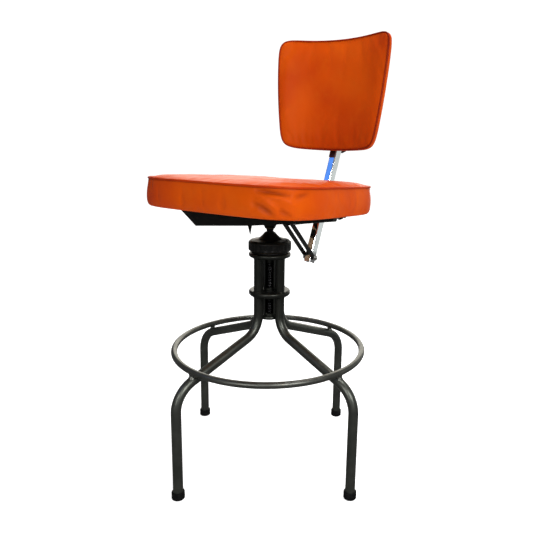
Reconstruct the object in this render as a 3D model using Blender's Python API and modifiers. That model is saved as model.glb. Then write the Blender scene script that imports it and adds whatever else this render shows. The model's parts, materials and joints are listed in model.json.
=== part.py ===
"""Adjustable swivel stool: four-legged tubular base, hand-nut screw column, padded seat and backrest.

World frame: metres, +Z up, the chair faces -Y, +X is the sitter's left. AXIS_Y puts the
column axis where the bounding box is centred on the origin.
"""
import math

import bmesh
import bpy
from mathutils import Matrix, Vector

MM = 0.001
GAP = 0.3
AXIS_Y = -37.4

# Base, all in millimetres
BASE_TURN = 34.95
TUBE_R = 11.1
TUBE_WALL = 1.6
COLUMN_R = 35.2
FOOT_R = 268.7
LEG_TOP_Z = 509.7
LEG_KNEE_Z = 334.0
LEG_HIP_Z = 246.5
LEG_KNEE_BEND_R = 55.0
LEG_HIP_BEND_R = 64.0
LEG_BOTTOM_Z = 3.5
TIP_R = 14.5
TIP_TOP_Z = 17.5
RING_R = 226.7
RING_ROD_R = 7.3
RING_Z = 285.5
LUG_R = 6.0

# Column
SCREW_R = 9.5
SCREW_BOTTOM_Z = 369.5
SCREW_TOP_Z = 577.2
SPIGOT_R = 7.9
SPIGOT_TOP_Z = 611.0
STOP_PIN_Z = 378.0
COLLAR_R = 49.6
LOWER_COLLAR_Z = (416.5, 429.5)
TOP_COLLAR_Z = (510.0, 520.0)
BOTTOM_PLATE_Z = (358.0, 366.0)
GUIDE_R = 14.0
GUIDE_BORE_R = 11.5
HAND_NUT_Z = 525.5
HAND_NUT_FLUTES = 20
HAND_NUT_R = 50.6

# Seat
SEAT_Z = 624.0
SEAT_TILT = 2.29
SEAT_CENTRE_Y = -40.8
SEAT_FRONT_W = 430.0
SEAT_REAR_W = 443.0
SEAT_DEPTH = 361.0
SEAT_THICK = 65.0
SEAT_POWER = 5.2
BOARD_THICK = 12.0
WELT_R = 2.6
ARM_WIDTH = 40.0
CROSS_WIDTH = 36.0
SHEET = 2.5

# Back linkage, (rearward distance from the column axis, height)
PIVOT = (176.9, 479.0)
STRAP_TOP = (66.0, 587.5)
UPRIGHT_LEAN = 23.13
ROD_PIN_UP = 109.3
RAIL_SLOPE = 3.76
RAIL_START = 46.0
RAIL_END = 290.0
RAIL_HEIGHT = 20.0
RAIL_Z = 589.0
RAIL_Z_AT = 75.0
RAIL_X = 14.9
STRAP_X = 11.5
STRAP_HALF = 5.8
PLATE = 3.0
BOLT_R = 3.9
BOLT_HEX = 12.5
ROD_R = 3.0
ROD_END_BLOCK = 50.3
HINGE_PIN_R = 2.5
CLAMP_BOLT_R = 3.7

# Upright channel, local to its pivot
UPRIGHT_W = 19.2
UPRIGHT_D = 24.7
UPRIGHT_FOOT = -13.0
UPRIGHT_TOP = 395.0
UPRIGHT_WALL = 2.0
CLAMP_UP = 322.0
HINGE_UP = 339.0
HINGE_OUT = 21.2

# Backrest, local to the hinge pin
PAD_TILT = 7.0
PAD_FRONT = 28.75
PAD_CENTRE_UP = 101.75
PAD_TOP_W = 333.0
PAD_BOTTOM_W = 281.4
PAD_HEIGHT = 285.3
PAD_CORNER_LIFT = 4.0
PAD_RADIUS = 357.0
PAD_THICK = 20.0
PAD_POWER = 10.9

ORANGE = (0.72, 0.16, 0.01)
PAINT = (0.055, 0.058, 0.052)
BLACK = (0.012, 0.012, 0.013)
DARK_STEEL = (0.05, 0.045, 0.04)
ZINC = (0.55, 0.55, 0.53)
CHROME = (0.8, 0.8, 0.82)
WOOD = (0.45, 0.3, 0.16)


# ---------------------------------------------------------------- scene helpers
def clear_scene():
    for obj in list(bpy.data.objects):
        bpy.data.objects.remove(obj, do_unlink=True)


def collection(name):
    coll = bpy.data.collections.new(name)
    bpy.context.scene.collection.children.link(coll)
    return coll


def material(name, colour, metallic, roughness):
    mat = bpy.data.materials.new(name)
    mat.use_nodes = True
    shader = mat.node_tree.nodes["Principled BSDF"]
    shader.inputs["Base Color"].default_value = (*colour, 1.0)
    shader.inputs["Metallic"].default_value = metallic
    shader.inputs["Roughness"].default_value = roughness
    return mat


def frame(name, parent=None, location=(0, 0, 0), turn=(0, 0, 0)):
    """An empty that carries pieces; location in mm, turn in degrees."""
    empty = bpy.data.objects.new(name, None)
    PARTS.objects.link(empty)
    empty.parent = parent
    empty.location = [v * MM for v in location]
    empty.rotation_euler = [math.radians(v) for v in turn]
    return empty


def place(obj, parent=None, location=(0, 0, 0), turn=(0, 0, 0)):
    obj.parent = parent
    obj.location = [v * MM for v in location]
    obj.rotation_euler = [math.radians(v) for v in turn]
    return obj


def paint(obj, colour, metallic=0.0, roughness=0.5):
    obj.data.materials.clear()
    obj.data.materials.append(material(obj.name, colour, metallic, roughness))
    return obj


def smooth(obj, angle=35.0):
    for poly in obj.data.polygons:
        poly.use_smooth = True
    obj.data.set_sharp_from_angle(angle=math.radians(angle))
    return obj


def mesh_object(name, bm, coll=None):
    mesh = bpy.data.meshes.new(name)
    bm.to_mesh(mesh)
    bm.free()
    obj = bpy.data.objects.new(name, mesh)
    (coll or PARTS).objects.link(obj)
    return obj


def scaled(bm):
    bmesh.ops.scale(bm, vec=(MM, MM, MM), verts=bm.verts)
    return bm


def curve_to_mesh(curve_obj, name, coll=None):
    """Replace a curve object by its evaluated mesh, with its caps welded."""
    depsgraph = bpy.context.evaluated_depsgraph_get()
    mesh = bpy.data.meshes.new_from_object(curve_obj.evaluated_get(depsgraph))
    bpy.data.objects.remove(curve_obj, do_unlink=True)
    bm = bmesh.new()
    bm.from_mesh(mesh)
    bpy.data.meshes.remove(mesh)
    bmesh.ops.remove_doubles(bm, verts=bm.verts, dist=0.00001)
    bmesh.ops.recalc_face_normals(bm, faces=bm.faces)
    return mesh_object(name, bm, coll)


# ---------------------------------------------------------------- shape helpers
def box(name, size, centre=(0, 0, 0), edge=0.0, coll=None):
    """Block of the given size in mm, with every edge rounded by edge mm."""
    bm = bmesh.new()
    bmesh.ops.create_cube(bm, size=1.0)
    bmesh.ops.scale(bm, vec=size, verts=bm.verts)
    if edge:
        bmesh.ops.bevel(bm, geom=bm.edges[:], offset=edge, segments=1, profile=0.5, affect="EDGES")
    bmesh.ops.translate(bm, vec=centre, verts=bm.verts)
    return mesh_object(name, scaled(bm), coll)


def cylinder(name, radius, length, centre=(0, 0, 0), axis="Z", sides=24, coll=None, edge=0.0):
    bm = bmesh.new()
    bmesh.ops.create_cone(bm, cap_ends=True, segments=sides, radius1=radius, radius2=radius, depth=length)
    if edge:
        rims = [e for e in bm.edges if abs(e.verts[0].co.z - e.verts[1].co.z) < 1e-6]
        bmesh.ops.bevel(bm, geom=rims, offset=edge, segments=1, profile=0.5, affect="EDGES")
    turn = {"X": Matrix.Rotation(math.pi / 2, 3, "Y"), "Y": Matrix.Rotation(-math.pi / 2, 3, "X")}
    if axis in turn:
        bmesh.ops.rotate(bm, matrix=turn[axis], verts=bm.verts)
    bmesh.ops.translate(bm, vec=centre, verts=bm.verts)
    return mesh_object(name, scaled(bm), coll)


def turned(name, profile, steps=32, coll=None):
    """Solid of revolution about Z; profile of (radius, height) runs down the outside."""
    mesh = bpy.data.meshes.new(name)
    ring = profile[0][0] > 0
    verts = [(r * MM, 0.0, z * MM) for r, z in profile]
    edges = [(i, i + 1) for i in range(len(profile) - 1)]
    if ring:
        edges.append((len(profile) - 1, 0))
    mesh.from_pydata(verts, edges, [])
    obj = bpy.data.objects.new(name, mesh)
    (coll or PARTS).objects.link(obj)
    screw = obj.modifiers.new("turn", "SCREW")
    screw.axis = "Z"
    screw.steps = steps
    screw.render_steps = steps
    screw.use_merge_vertices = True
    screw.merge_threshold = 0.00005
    screw.use_smooth_shade = True
    return obj


def apply_modifiers(obj):
    """Swap the object's mesh for its evaluated result and drop the modifiers."""
    depsgraph = bpy.context.evaluated_depsgraph_get()
    mesh = bpy.data.meshes.new_from_object(obj.evaluated_get(depsgraph))
    obj.modifiers.clear()
    obj.data = mesh
    return obj


def flat(name, outline, thickness, coll=None):
    """Extruded flat outline in mm, centred on its own XY plane."""
    curve = bpy.data.curves.new(name, "CURVE")
    curve.dimensions = "2D"
    curve.fill_mode = "BOTH"
    curve.extrude = thickness * MM / 2
    line = curve.splines.new("POLY")
    line.points.add(len(outline) - 1)
    for point, (x, y) in zip(line.points, outline):
        point.co = (x * MM, y * MM, 0.0, 1.0)
    line.use_cyclic_u = True
    obj = bpy.data.objects.new(name + "_curve", curve)
    bpy.context.scene.collection.objects.link(obj)
    return curve_to_mesh(obj, name, coll)


def tube(name, points, radius, sides=12, cyclic=False, caps=True, coll=None):
    """Round bar along a path of points in mm."""
    curve = bpy.data.curves.new(name, "CURVE")
    curve.dimensions = "3D"
    curve.bevel_depth = radius * MM
    curve.bevel_resolution = (sides - 4) // 2
    curve.use_fill_caps = caps and not cyclic
    line = curve.splines.new("POLY")
    line.points.add(len(points) - 1)
    for point, co in zip(line.points, points):
        point.co = (*(v * MM for v in co), 1.0)
    line.use_cyclic_u = cyclic
    obj = bpy.data.objects.new(name + "_curve", curve)
    bpy.context.scene.collection.objects.link(obj)
    return smooth(curve_to_mesh(obj, name, coll))


def boolean(obj, others, operation="DIFFERENCE"):
    """Cut with or join the other objects; they go to the cutters collection."""
    for other in others:
        mod = obj.modifiers.new(operation.lower(), "BOOLEAN")
        mod.operation = operation
        mod.solver = "EXACT"
        mod.object = other
        other.hide_render = True
        other.display_type = "WIRE"
    return obj


def stadium(p0, p1, half, steps=5):
    """Outline of a bar with round ends between two points."""
    a = math.atan2(p1[1] - p0[1], p1[0] - p0[0])
    ends = ((p1, a - math.pi / 2), (p0, a + math.pi / 2))
    out = []
    for centre, start in ends:
        for i in range(steps + 1):
            b = start + math.pi * i / steps
            out.append((centre[0] + half * math.cos(b), centre[1] + half * math.sin(b)))
    return out


def lug(eye, root, half, steps=6):
    """Outline of an ear: round about its eye, cut square at its root."""
    a = math.atan2(root[1] - eye[1], root[0] - eye[0])
    out = [(root[0] + half * math.cos(a + side), root[1] + half * math.sin(a + side))
           for side in (-math.pi / 2, math.pi / 2)]
    for i in range(steps + 1):
        b = a + math.pi / 2 + math.pi * i / steps
        out.append((eye[0] + half * math.cos(b), eye[1] + half * math.sin(b)))
    return out


def pillow_outline(top, bottom, height, power, bow_side, bow_bottom, lift=0.0, steps=48, grow=0.0):
    """Rounded trapezoid: top is its width at +Y, bottom at -Y, sides slightly bowed.

    lift raises the two top corners above the middle of the top edge.
    """
    out = []
    for i in range(steps):
        a = 2 * math.pi * i / steps
        c, s = math.cos(a), math.sin(a)
        u = math.copysign(abs(c) ** (2 / power), c)
        v = math.copysign(abs(s) ** (2 / power), s)
        half = (top * (1 + v) + bottom * (1 - v)) / 4 * (1 + bow_side * (1 - v * v))
        y = v * height / 2 * (1 + bow_bottom * (1 - u * u) * (v < 0)) + lift * max(v, 0.0) * u * u
        out.append(Vector((u * half, y)))
    if not grow:
        return out
    grown = []
    for i, p in enumerate(out):
        along = (out[(i + 1) % steps] - out[i - 1]).normalized()
        grown.append(p + Vector((along.y, -along.x)) * grow)
    return grown


def hex_prism(name, across, length, centre, axis="X", coll=None):
    return cylinder(name, across / 2 / math.cos(math.pi / 6), length, centre, axis, sides=6, coll=coll)


def merged(name, objs, coll=None):
    """Several separate solids gathered into one object."""
    bm = bmesh.new()
    for obj in objs:
        part = obj.data.copy()
        part.transform(obj.matrix_basis)
        bm.from_mesh(part)
        bpy.data.meshes.remove(part)
        bpy.data.objects.remove(obj, do_unlink=True)
    return mesh_object(name, bm, coll)


def cross_bolt(name, at, reach, parent):
    """Hex bolt along X at (rearward, height), gripping reach mm each side of the middle."""
    shank = place(cylinder(name, BOLT_R, 2 * reach + 10, (3.0, *at), "X", sides=12), parent)
    head = hex_prism(name + "_head", BOLT_HEX, 5.0, (-reach - 2.5, *at), coll=CUTTERS)
    return boolean(shank, [place(head, parent)], "UNION")


def cross_nut(name, at, x, parent):
    nut = place(hex_prism(name, BOLT_HEX, 5.5, (x, *at)), parent)
    hole = cylinder(name + "_hole", BOLT_R + GAP, 12.0, (x, *at), "X", sides=12, coll=CUTTERS)
    return boolean(nut, [place(hole, parent)])


def side_plate(name, outline, x, parent, holes=()):
    """Plate standing in the fore-aft plane at x; holes are (centre, radius)."""
    plate = place(flat(name, outline, PLATE), parent, (x, 0, 0), (90, 0, 90))
    cutters = []
    for i, (at, radius) in enumerate(holes):
        hole = cylinder(f"{name}_hole_{i}", radius, 4 * PLATE, (x, *at), "X", sides=12, coll=CUTTERS)
        cutters.append(place(hole, parent))
    return boolean(plate, cutters)


# ---------------------------------------------------------------- base
def leg_path():
    """Centre line of one leg in its own radial plane: column, hip bend, slope, knee bend."""
    slope = math.atan2(LEG_KNEE_Z - LEG_HIP_Z, FOOT_R - COLUMN_R)
    turn = math.pi / 2 - slope
    knee_start = LEG_KNEE_Z + LEG_KNEE_BEND_R * math.tan(turn / 2)
    hip_end = LEG_HIP_Z - LEG_HIP_BEND_R * math.tan(turn / 2)
    points = [(COLUMN_R, LEG_TOP_Z)]
    steps = 6
    for i in range(steps + 1):
        a = turn * i / steps
        points.append((COLUMN_R + LEG_KNEE_BEND_R * (1 - math.cos(a)),
                       knee_start - LEG_KNEE_BEND_R * math.sin(a)))
    for i in range(steps, -1, -1):
        a = turn * i / steps
        points.append((FOOT_R - LEG_HIP_BEND_R * (1 - math.cos(a)),
                       hip_end + LEG_HIP_BEND_R * math.sin(a)))
    points.append((FOOT_R, LEG_BOTTOM_Z))
    return [(r, 0.0, z) for r, z in points]


def build_legs(base):
    first = tube("leg_1", leg_path(), TUBE_R, sides=12, caps=False)
    wall = first.modifiers.new("wall", "SOLIDIFY")
    wall.thickness = TUBE_WALL * MM
    wall.offset = -1.0
    apply_modifiers(first)
    smooth(first)
    tip_profile = [(TIP_R - 1.2, TIP_TOP_Z), (TIP_R, TIP_TOP_Z - 1.5), (TIP_R, 2.0), (TIP_R - 2.0, 0.0),
                   (0.0, 0.0), (0.0, LEG_BOTTOM_Z - GAP), (TUBE_R + GAP, LEG_BOTTOM_Z - GAP),
                   (TUBE_R + GAP, TIP_TOP_Z)]
    for i in range(4):
        turn = (0, 0, 45 + 90 * i)
        leg = first if i == 0 else bpy.data.objects.new(f"leg_{i + 1}", first.data.copy())
        if i:
            PARTS.objects.link(leg)
        paint(place(leg, base, turn=turn), PAINT, 0.3, 0.42)
        spot = (FOOT_R * math.cos(math.radians(turn[2])), FOOT_R * math.sin(math.radians(turn[2])), 0)
        tip = turned(f"rubber_foot_{i + 1}", tip_profile, steps=20)
        paint(place(tip, base, spot, turn), BLACK, 0.0, 0.7)


def build_foot_ring(base):
    steps = 52
    path = [(RING_R * math.cos(2 * math.pi * i / steps), RING_R * math.sin(2 * math.pi * i / steps), RING_Z)
            for i in range(steps)]
    ring = place(tube("foot_ring", path, RING_ROD_R, sides=10, cyclic=True), base)
    lugs = []
    legs = []
    for i in range(4):
        a = math.radians(45 + 90 * i)
        spot = (RING_R * math.cos(a), RING_R * math.sin(a))
        lug = cylinder(f"ring_lug_{i}", LUG_R, 20.0, (*spot, RING_Z - 11.0), sides=12, coll=CUTTERS)
        lugs.append(place(lug, base))
        room = tube(f"leg_room_{i}", leg_path(), TUBE_R + GAP, sides=12, coll=CUTTERS)
        legs.append(place(room, base, turn=(0, 0, 45 + 90 * i)))
    boolean(ring, lugs, "UNION")
    boolean(ring, legs)
    paint(ring, PAINT, 0.4, 0.4)


def tube_cutters(base, name, z0, z1):
    cutters = []
    for i in range(4):
        a = math.radians(45 + 90 * i)
        spot = (COLUMN_R * math.cos(a), COLUMN_R * math.sin(a), (z0 + z1) / 2)
        hole = cylinder(f"{name}_tube_{i}", TUBE_R + GAP, z1 - z0, spot, sides=14, coll=CUTTERS)
        cutters.append(place(hole, base))
    return cutters


def collar_profile(bore, z0, z1, steps=4):
    """Disc with a full round edge, standing on z0."""
    half = (z1 - z0) / 2
    rim = [(COLLAR_R - half + half * math.cos(a), z0 + half + half * math.sin(a))
           for a in (math.pi * (0.5 - i / steps) for i in range(steps + 1))]
    return [(bore, z1), *rim, (bore, z0)]


def build_collars(base):
    z0, z1 = LOWER_COLLAR_Z
    lower = turned("lower_collar", collar_profile(GUIDE_R + GAP, z0, z1), steps=40)
    boolean(place(lower, base), tube_cutters(base, "lower_collar", z0 - 5, z1 + 5))
    paint(lower, PAINT, 0.3, 0.42)

    t0, t1 = TOP_COLLAR_Z
    bore = SCREW_R + 0.35
    boss = GUIDE_BORE_R - GAP
    top = turned("top_collar", collar_profile(boss, t0, t1)[:-1] + [(boss, t0), (boss, t0 - 14),
                                                                    (bore, t0 - 14), (bore, t1)], steps=40)
    key_z = (t0 + t1) / 2
    key_hole = place(cylinder("key_hole", 3.3, 50.0, (0, 30.0, key_z), "Y", 16, CUTTERS), base)
    boolean(place(top, base), [key_hole])
    paint(top, PAINT, 0.3, 0.42)
    key = cylinder("key_screw", 3.0, 40.8, (0, 7.2 + 20.4, key_z), "Y", 16, edge=0.4)
    paint(place(key, base), DARK_STEEL, 0.8, 0.4)

    b0, b1 = BOTTOM_PLATE_Z
    bottom = cylinder("bottom_plate", COLUMN_R - TUBE_R - GAP, b1 - b0, (0, 0, (b0 + b1) / 2), sides=24)
    paint(place(smooth(bottom), base), PAINT, 0.3, 0.45)


def build_guide_tube(base):
    """Tube the screw slides in, closed at the rear and open at the front above and below the collar."""
    low, high = BOTTOM_PLATE_Z[1] + GAP, TOP_COLLAR_Z[0] - GAP
    guide = turned("guide_tube", [(GUIDE_BORE_R, high), (GUIDE_R, high), (GUIDE_R, low),
                                  (GUIDE_BORE_R, low)], steps=32)
    windows = []
    for z0, z1 in ((low + 5.0, LOWER_COLLAR_Z[0] - 2.5), (LOWER_COLLAR_Z[1] + 5.5, high - 5.0)):
        window = box(f"guide_window_{z0:.0f}", (19.6, 16.0, z1 - z0), coll=CUTTERS)
        windows.append(place(window, base, (0, -12.0, (z0 + z1) / 2)))
    boolean(place(guide, base), windows)
    paint(guide, PAINT, 0.3, 0.5)


def build_bearing(base):
    bore = SCREW_R + 0.6
    low, high = TOP_COLLAR_Z[1] + GAP, TOP_COLLAR_Z[1] + 3.0
    cup = turned("bearing_cup", [(bore, high), (43.4, high), (44.0, high - 0.6), (44.0, low + 0.6),
                                 (43.4, low), (bore, low)], steps=36)
    paint(place(cup, base), BLACK, 0.4, 0.4)
    low, high = high + GAP, HAND_NUT_Z - GAP
    race = turned("thrust_washer", [(bore, high), (42.5, high), (42.5, low), (bore, low)], steps=28)
    paint(place(race, base), (0.3, 0.2, 0.09), 0.9, 0.35)


def build_hand_nut(base):
    z0 = HAND_NUT_Z
    rim = HAND_NUT_R
    bore = SCREW_R + 0.35
    profile = [(bore, 568.5), (11.4, 568.5), (12.6, 567.6), (15.5, 564.0), (19.5, 559.8), (24.0, 555.8),
               (29.0, 552.6), (36.0, 551.0), (46.0, 549.6), (rim, 546.6),
               (rim, z0 + 2.0), (rim - 1.4, z0), (bore, z0)]
    nut = turned("hand_nut", profile, steps=40)
    flutes = []
    for i in range(HAND_NUT_FLUTES):
        a = 2 * math.pi * (i + 0.5) / HAND_NUT_FLUTES
        spot = ((rim + 1.6) * math.cos(a), (rim + 1.6) * math.sin(a), z0 + 13.0)
        flutes.append(place(cylinder(f"flute_{i}", 2.9, 17.0, spot, sides=6, coll=CUTTERS)))
    cutter = place(merged("nut_flutes", flutes, CUTTERS), base)
    boolean(place(nut, base), [cutter])
    paint(nut, BLACK, 0.3, 0.45)


def build_screw(base):
    profile = [(0, SPIGOT_TOP_Z), (SPIGOT_R - 1, SPIGOT_TOP_Z), (SPIGOT_R, SPIGOT_TOP_Z - 1),
               (SPIGOT_R, SCREW_TOP_Z), (SCREW_R, SCREW_TOP_Z), (SCREW_R, SCREW_BOTTOM_Z + 2.5),
               (SCREW_R - 2.5, SCREW_BOTTOM_Z), (0, SCREW_BOTTOM_Z)]
    screw = turned("spindle_screw", profile, steps=24)
    keyway = box("keyway", (6.8, 4.0, 103.0), (0, SCREW_R - 0.8, 474.5), coll=CUTTERS)
    pin_hole = cylinder("stop_pin_hole", 2.3, 30.0, (0, 0, STOP_PIN_Z), "X", 12, CUTTERS)
    boolean(place(screw, base), [place(keyway, base), place(pin_hole, base)])
    paint(screw, DARK_STEEL, 0.9, 0.38)
    pin = cylinder("stop_pin", 2.0, 22.0, (0, 0, STOP_PIN_Z), "X", 12, edge=0.4)
    paint(place(pin, base), DARK_STEEL, 0.9, 0.4)
    bore = SPIGOT_R + GAP
    washer = turned("swivel_washer", [(bore, 579.1), (12.3, 579.1), (12.3, 577.5), (bore, 577.5)], steps=20)
    paint(place(washer, base), (0.3, 0.2, 0.09), 0.9, 0.35)
    keeper = turned("spigot_keeper", [(0, 614.5), (9.5, 614.5), (11.0, 613.2), (11.0, 611.3), (0, 611.3)],
                    steps=16)
    paint(place(keeper, base), ZINC, 0.9, 0.35)


# ---------------------------------------------------------------- seat
def build_hub(axis):
    bore = SPIGOT_R + 0.35
    hub = turned("swivel_hub", [(bore, 609.5), (15.2, 609.5), (15.9, 608.8), (15.9, 586.0), (12.6, 579.8),
                                (12.2, 579.4), (bore, 579.4)], steps=24)
    paint(place(hub, axis), BLACK, 0.4, 0.45)


def diagonal_arm(seat):
    """Deep pressed channel from the front left, through the hub, to the rear right."""
    outline = [(-209, -GAP), (-170, -42.5), (-50, -40.0), (50, -33.5), (146, -25.0), (160, -GAP)]
    arm = place(flat("seat_iron", outline, ARM_WIDTH), seat, turn=(90, 0, 45))
    depth = 60.0
    size = (520, ARM_WIDTH - 2 * SHEET, depth)
    hollow = box("arm_hollow", size, (0, 0, -GAP - SHEET - depth / 2), coll=CUTTERS)
    return arm, place(hollow, seat, turn=(0, 0, 45))


def build_seat_iron(seat):
    arm, hollow = diagonal_arm(seat)
    cross_depth = 9.0
    size = (CROSS_WIDTH, 316.0, cross_depth)
    cross = box("cross_arm", size, (0, 0, -GAP - cross_depth / 2), coll=CUTTERS)
    boolean(arm, [place(cross, seat, turn=(0, 0, 45))], "UNION")
    tab = flat("iron_tab", [(-54, -36.0), (-47, -62.0), (-43, -36.0)], SHEET, CUTTERS)
    place(tab, seat, turn=(90, 0, 45), location=(13.26, -13.26, 0))
    boolean(arm, [tab], "UNION")
    pockets = []
    for side in (-1, 1):
        centre = (0, side * (ARM_WIDTH / 2 + 80.3), -GAP - SHEET - 20)
        pocket = box(f"cross_pocket_{side + 1}", (CROSS_WIDTH - 2 * SHEET, 160, 40), centre, coll=CUTTERS)
        pockets.append(place(pocket, seat, turn=(0, 0, 45)))
    boolean(arm, [hollow, *pockets])
    paint(arm, BLACK, 0.3, 0.4)
    return arm


def seat_outline(grow=0.0):
    return pillow_outline(SEAT_REAR_W, SEAT_FRONT_W, SEAT_DEPTH, SEAT_POWER, 0.011, 0.029, grow=grow)


def build_cushion(seat):
    centre = (0, SEAT_CENTRE_Y)
    board = flat("seat_board", seat_outline(-9.0), BOARD_THICK)
    place(board, seat, (*centre, BOARD_THICK / 2 + GAP))
    pad = flat("seat_cushion", seat_outline(-2.0 * WELT_R), SEAT_THICK)
    place(pad, seat, (*centre, SEAT_THICK / 2))
    rounding = pad.modifiers.new("edges", "BEVEL")
    rounding.width = 6.0 * MM
    rounding.segments = 1
    rounding.limit_method = "ANGLE"
    rounding.angle_limit = math.radians(60)
    recess = flat("board_recess", seat_outline(-8.5), 2 * (BOARD_THICK + 2 * GAP), CUTTERS)
    boolean(pad, [place(recess, seat, (*centre, 0))])
    paint(pad, ORANGE, 0.0, 0.4)
    paint(board, WOOD, 0.0, 0.7)
    path = [(*p, SEAT_THICK - 4.0) for p in seat_outline(-WELT_R + GAP)]
    welt = place(tube("seat_welt", path, WELT_R - GAP, sides=6, cyclic=True), seat, (*centre, 0))
    paint(welt, ORANGE, 0.0, 0.4)
    return board


def build_seat_screws(seat, iron, board):
    """Wood screws up through the ends of the iron into the board."""
    top = -GAP - SHEET - GAP
    profile = [(0, 9.0), (2.0, 9.0), (2.0, top), (5.0, top), (4.6, top - 2.0), (3.0, top - 2.8),
               (0, top - 2.8)]
    turn = math.radians(45)
    for i, (along, across) in enumerate(((-188, 0), (140, 0), (0, -135), (0, 135))):
        spot = (along * math.cos(turn) - across * math.sin(turn),
                along * math.sin(turn) + across * math.cos(turn), 0)
        screw = turned(f"seat_screw_{i + 1}", profile, steps=12)
        paint(place(screw, seat, spot), ZINC, 0.9, 0.35)
        room = place(cylinder(f"seat_screw_room_{i}", 2.3, 24.0, sides=12, coll=CUTTERS), seat, spot)
        boolean(iron, [room])
        boolean(board, [room])


# ---------------------------------------------------------------- rails and straps
def rail_height(rearward):
    return RAIL_Z - (rearward - RAIL_Z_AT) * math.tan(math.radians(RAIL_SLOPE))


def build_rails(axis):
    half = RAIL_HEIGHT / 2
    bolt_at = (100.0, rail_height(100.0))
    outline = [(RAIL_START, rail_height(RAIL_START) - half), (RAIL_END - 8, rail_height(RAIL_END) - half),
               (RAIL_END, rail_height(RAIL_END) + half - 8), (RAIL_END, rail_height(RAIL_END) + half),
               (RAIL_START, rail_height(RAIL_START) + half)]
    holes = [(STRAP_TOP, BOLT_R + GAP), (bolt_at, BOLT_R + GAP)]
    for name, x in (("rail_left", -RAIL_X), ("rail_right", RAIL_X)):
        paint(side_plate(name, outline, x, axis, holes), BLACK, 0.4, 0.4)
    for name, x in (("strap_left", -STRAP_X), ("strap_right", STRAP_X)):
        strap = side_plate(name, stadium(PIVOT, STRAP_TOP, STRAP_HALF), x, axis,
                           [(STRAP_TOP, BOLT_R + GAP), (PIVOT, BOLT_R + GAP)])
        paint(strap, BLACK, 0.3, 0.38)
    cheek = RAIL_X + PLATE + GAP
    near, far = RAIL_START + 4, 112.0
    flange = [(near, 617.0), (near, rail_height(60) - half), (far, rail_height(112) - half), (far, 614.8)]
    bracket = side_plate("rail_bracket", flange, -cheek, axis, holes)
    other = flat("bracket_cheek", flange, PLATE, CUTTERS)
    place(other, axis, (cheek, 0, 0), (90, 0, 90))
    strip = [(near, 616.9), (far, 614.6), (far, 617.6), (near, 619.9)]
    web = flat("bracket_web", strip, 2 * cheek + PLATE, CUTTERS)
    place(web, axis, turn=(90, 0, 90))
    boolean(bracket, [other, web], "UNION")
    more = []
    for i, (at, radius) in enumerate(holes):
        hole = cylinder(f"bracket_bore_{i}", radius, 60.0, (0, *at), "X", 12, CUTTERS)
        more.append(place(hole, axis))
    boolean(bracket, more)
    paint(bracket, BLACK, 0.3, 0.4)
    reach = cheek + PLATE / 2 + GAP
    for name, at in (("anchor", STRAP_TOP), ("rail", bolt_at)):
        paint(cross_bolt(f"{name}_bolt", at, reach, axis), ZINC, 0.9, 0.35)
        paint(cross_nut(f"{name}_nut", at, reach + 3.05, axis), ZINC, 0.9, 0.35)
    spacer = STRAP_X - PLATE / 2 - GAP
    tube_profile = [(BOLT_R + GAP, spacer), (7.0, spacer), (7.0, -spacer), (BOLT_R + GAP, -spacer)]
    sleeve = turned("strap_spacer", tube_profile, steps=20)
    paint(place(sleeve, axis, (0, *STRAP_TOP), (0, 90, 0)), DARK_STEEL, 0.8, 0.4)
    pivot_reach = STRAP_X + PLATE / 2 + GAP
    paint(cross_bolt("pivot_bolt", PIVOT, pivot_reach, axis), ZINC, 0.9, 0.3)
    paint(cross_nut("pivot_nut", PIVOT, pivot_reach + 3.05, axis), ZINC, 0.9, 0.3)


def build_end_block(rod):
    """Block between the rail ends; local X of the rod frame is its length."""
    length = 20.0
    front = ROD_END_BLOCK
    block = box("rail_end_block", (2 * (RAIL_X - PLATE / 2 - GAP), length, RAIL_HEIGHT - 1),
                (0, front + length / 2, 0))
    bore = cylinder("block_bore", 3.8, 60.0, (0, front + 10, 0), "Y", 14, CUTTERS)
    cup = cylinder("block_cup", 8.7, 28.0, (0, front, 0), "Y", 16, CUTTERS)
    boolean(place(block, rod), [place(bore, rod), place(cup, rod)])
    paint(block, BLACK, 0.4, 0.4)


def build_rod(rod):
    tail = 134.0
    cross = cylinder("tension_rod", 2.9, 24.0, (0, 0, 0), "X", 12, edge=0.4)
    head = place(cylinder("rod_head", 5.3, 11.0, (0, 0, 0), "X", 14, CUTTERS), rod)
    shank = place(cylinder("rod_shank", ROD_R, tail, (0, tail / 2, 0), "Y", 16, CUTTERS), rod)
    boolean(place(cross, rod), [head, shank], "UNION")
    paint(cross, ZINC, 0.9, 0.3)
    front = ROD_END_BLOCK
    turns, steps, reach = 5, 10, 36.0
    coil = []
    for i in range(turns * steps + 1):
        a = 2 * math.pi * i / steps
        coil.append((6.9 * math.cos(a), front + 3.0 - reach + 34.0 * i / (turns * steps), 6.9 * math.sin(a)))
    paint(place(tube("return_spring", coil, 1.15, sides=6), rod), DARK_STEEL, 0.9, 0.35)
    bore = ROD_R + GAP
    sleeve = turned("thrust_sleeve", [(bore, 36.0), (5.0, 36.0), (5.0, 0.0), (bore, 0.0)], steps=20)
    paint(place(sleeve, rod, (0, front + 20.4, 0), (-90, 0, 0)), ZINC, 0.9, 0.25)


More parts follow.
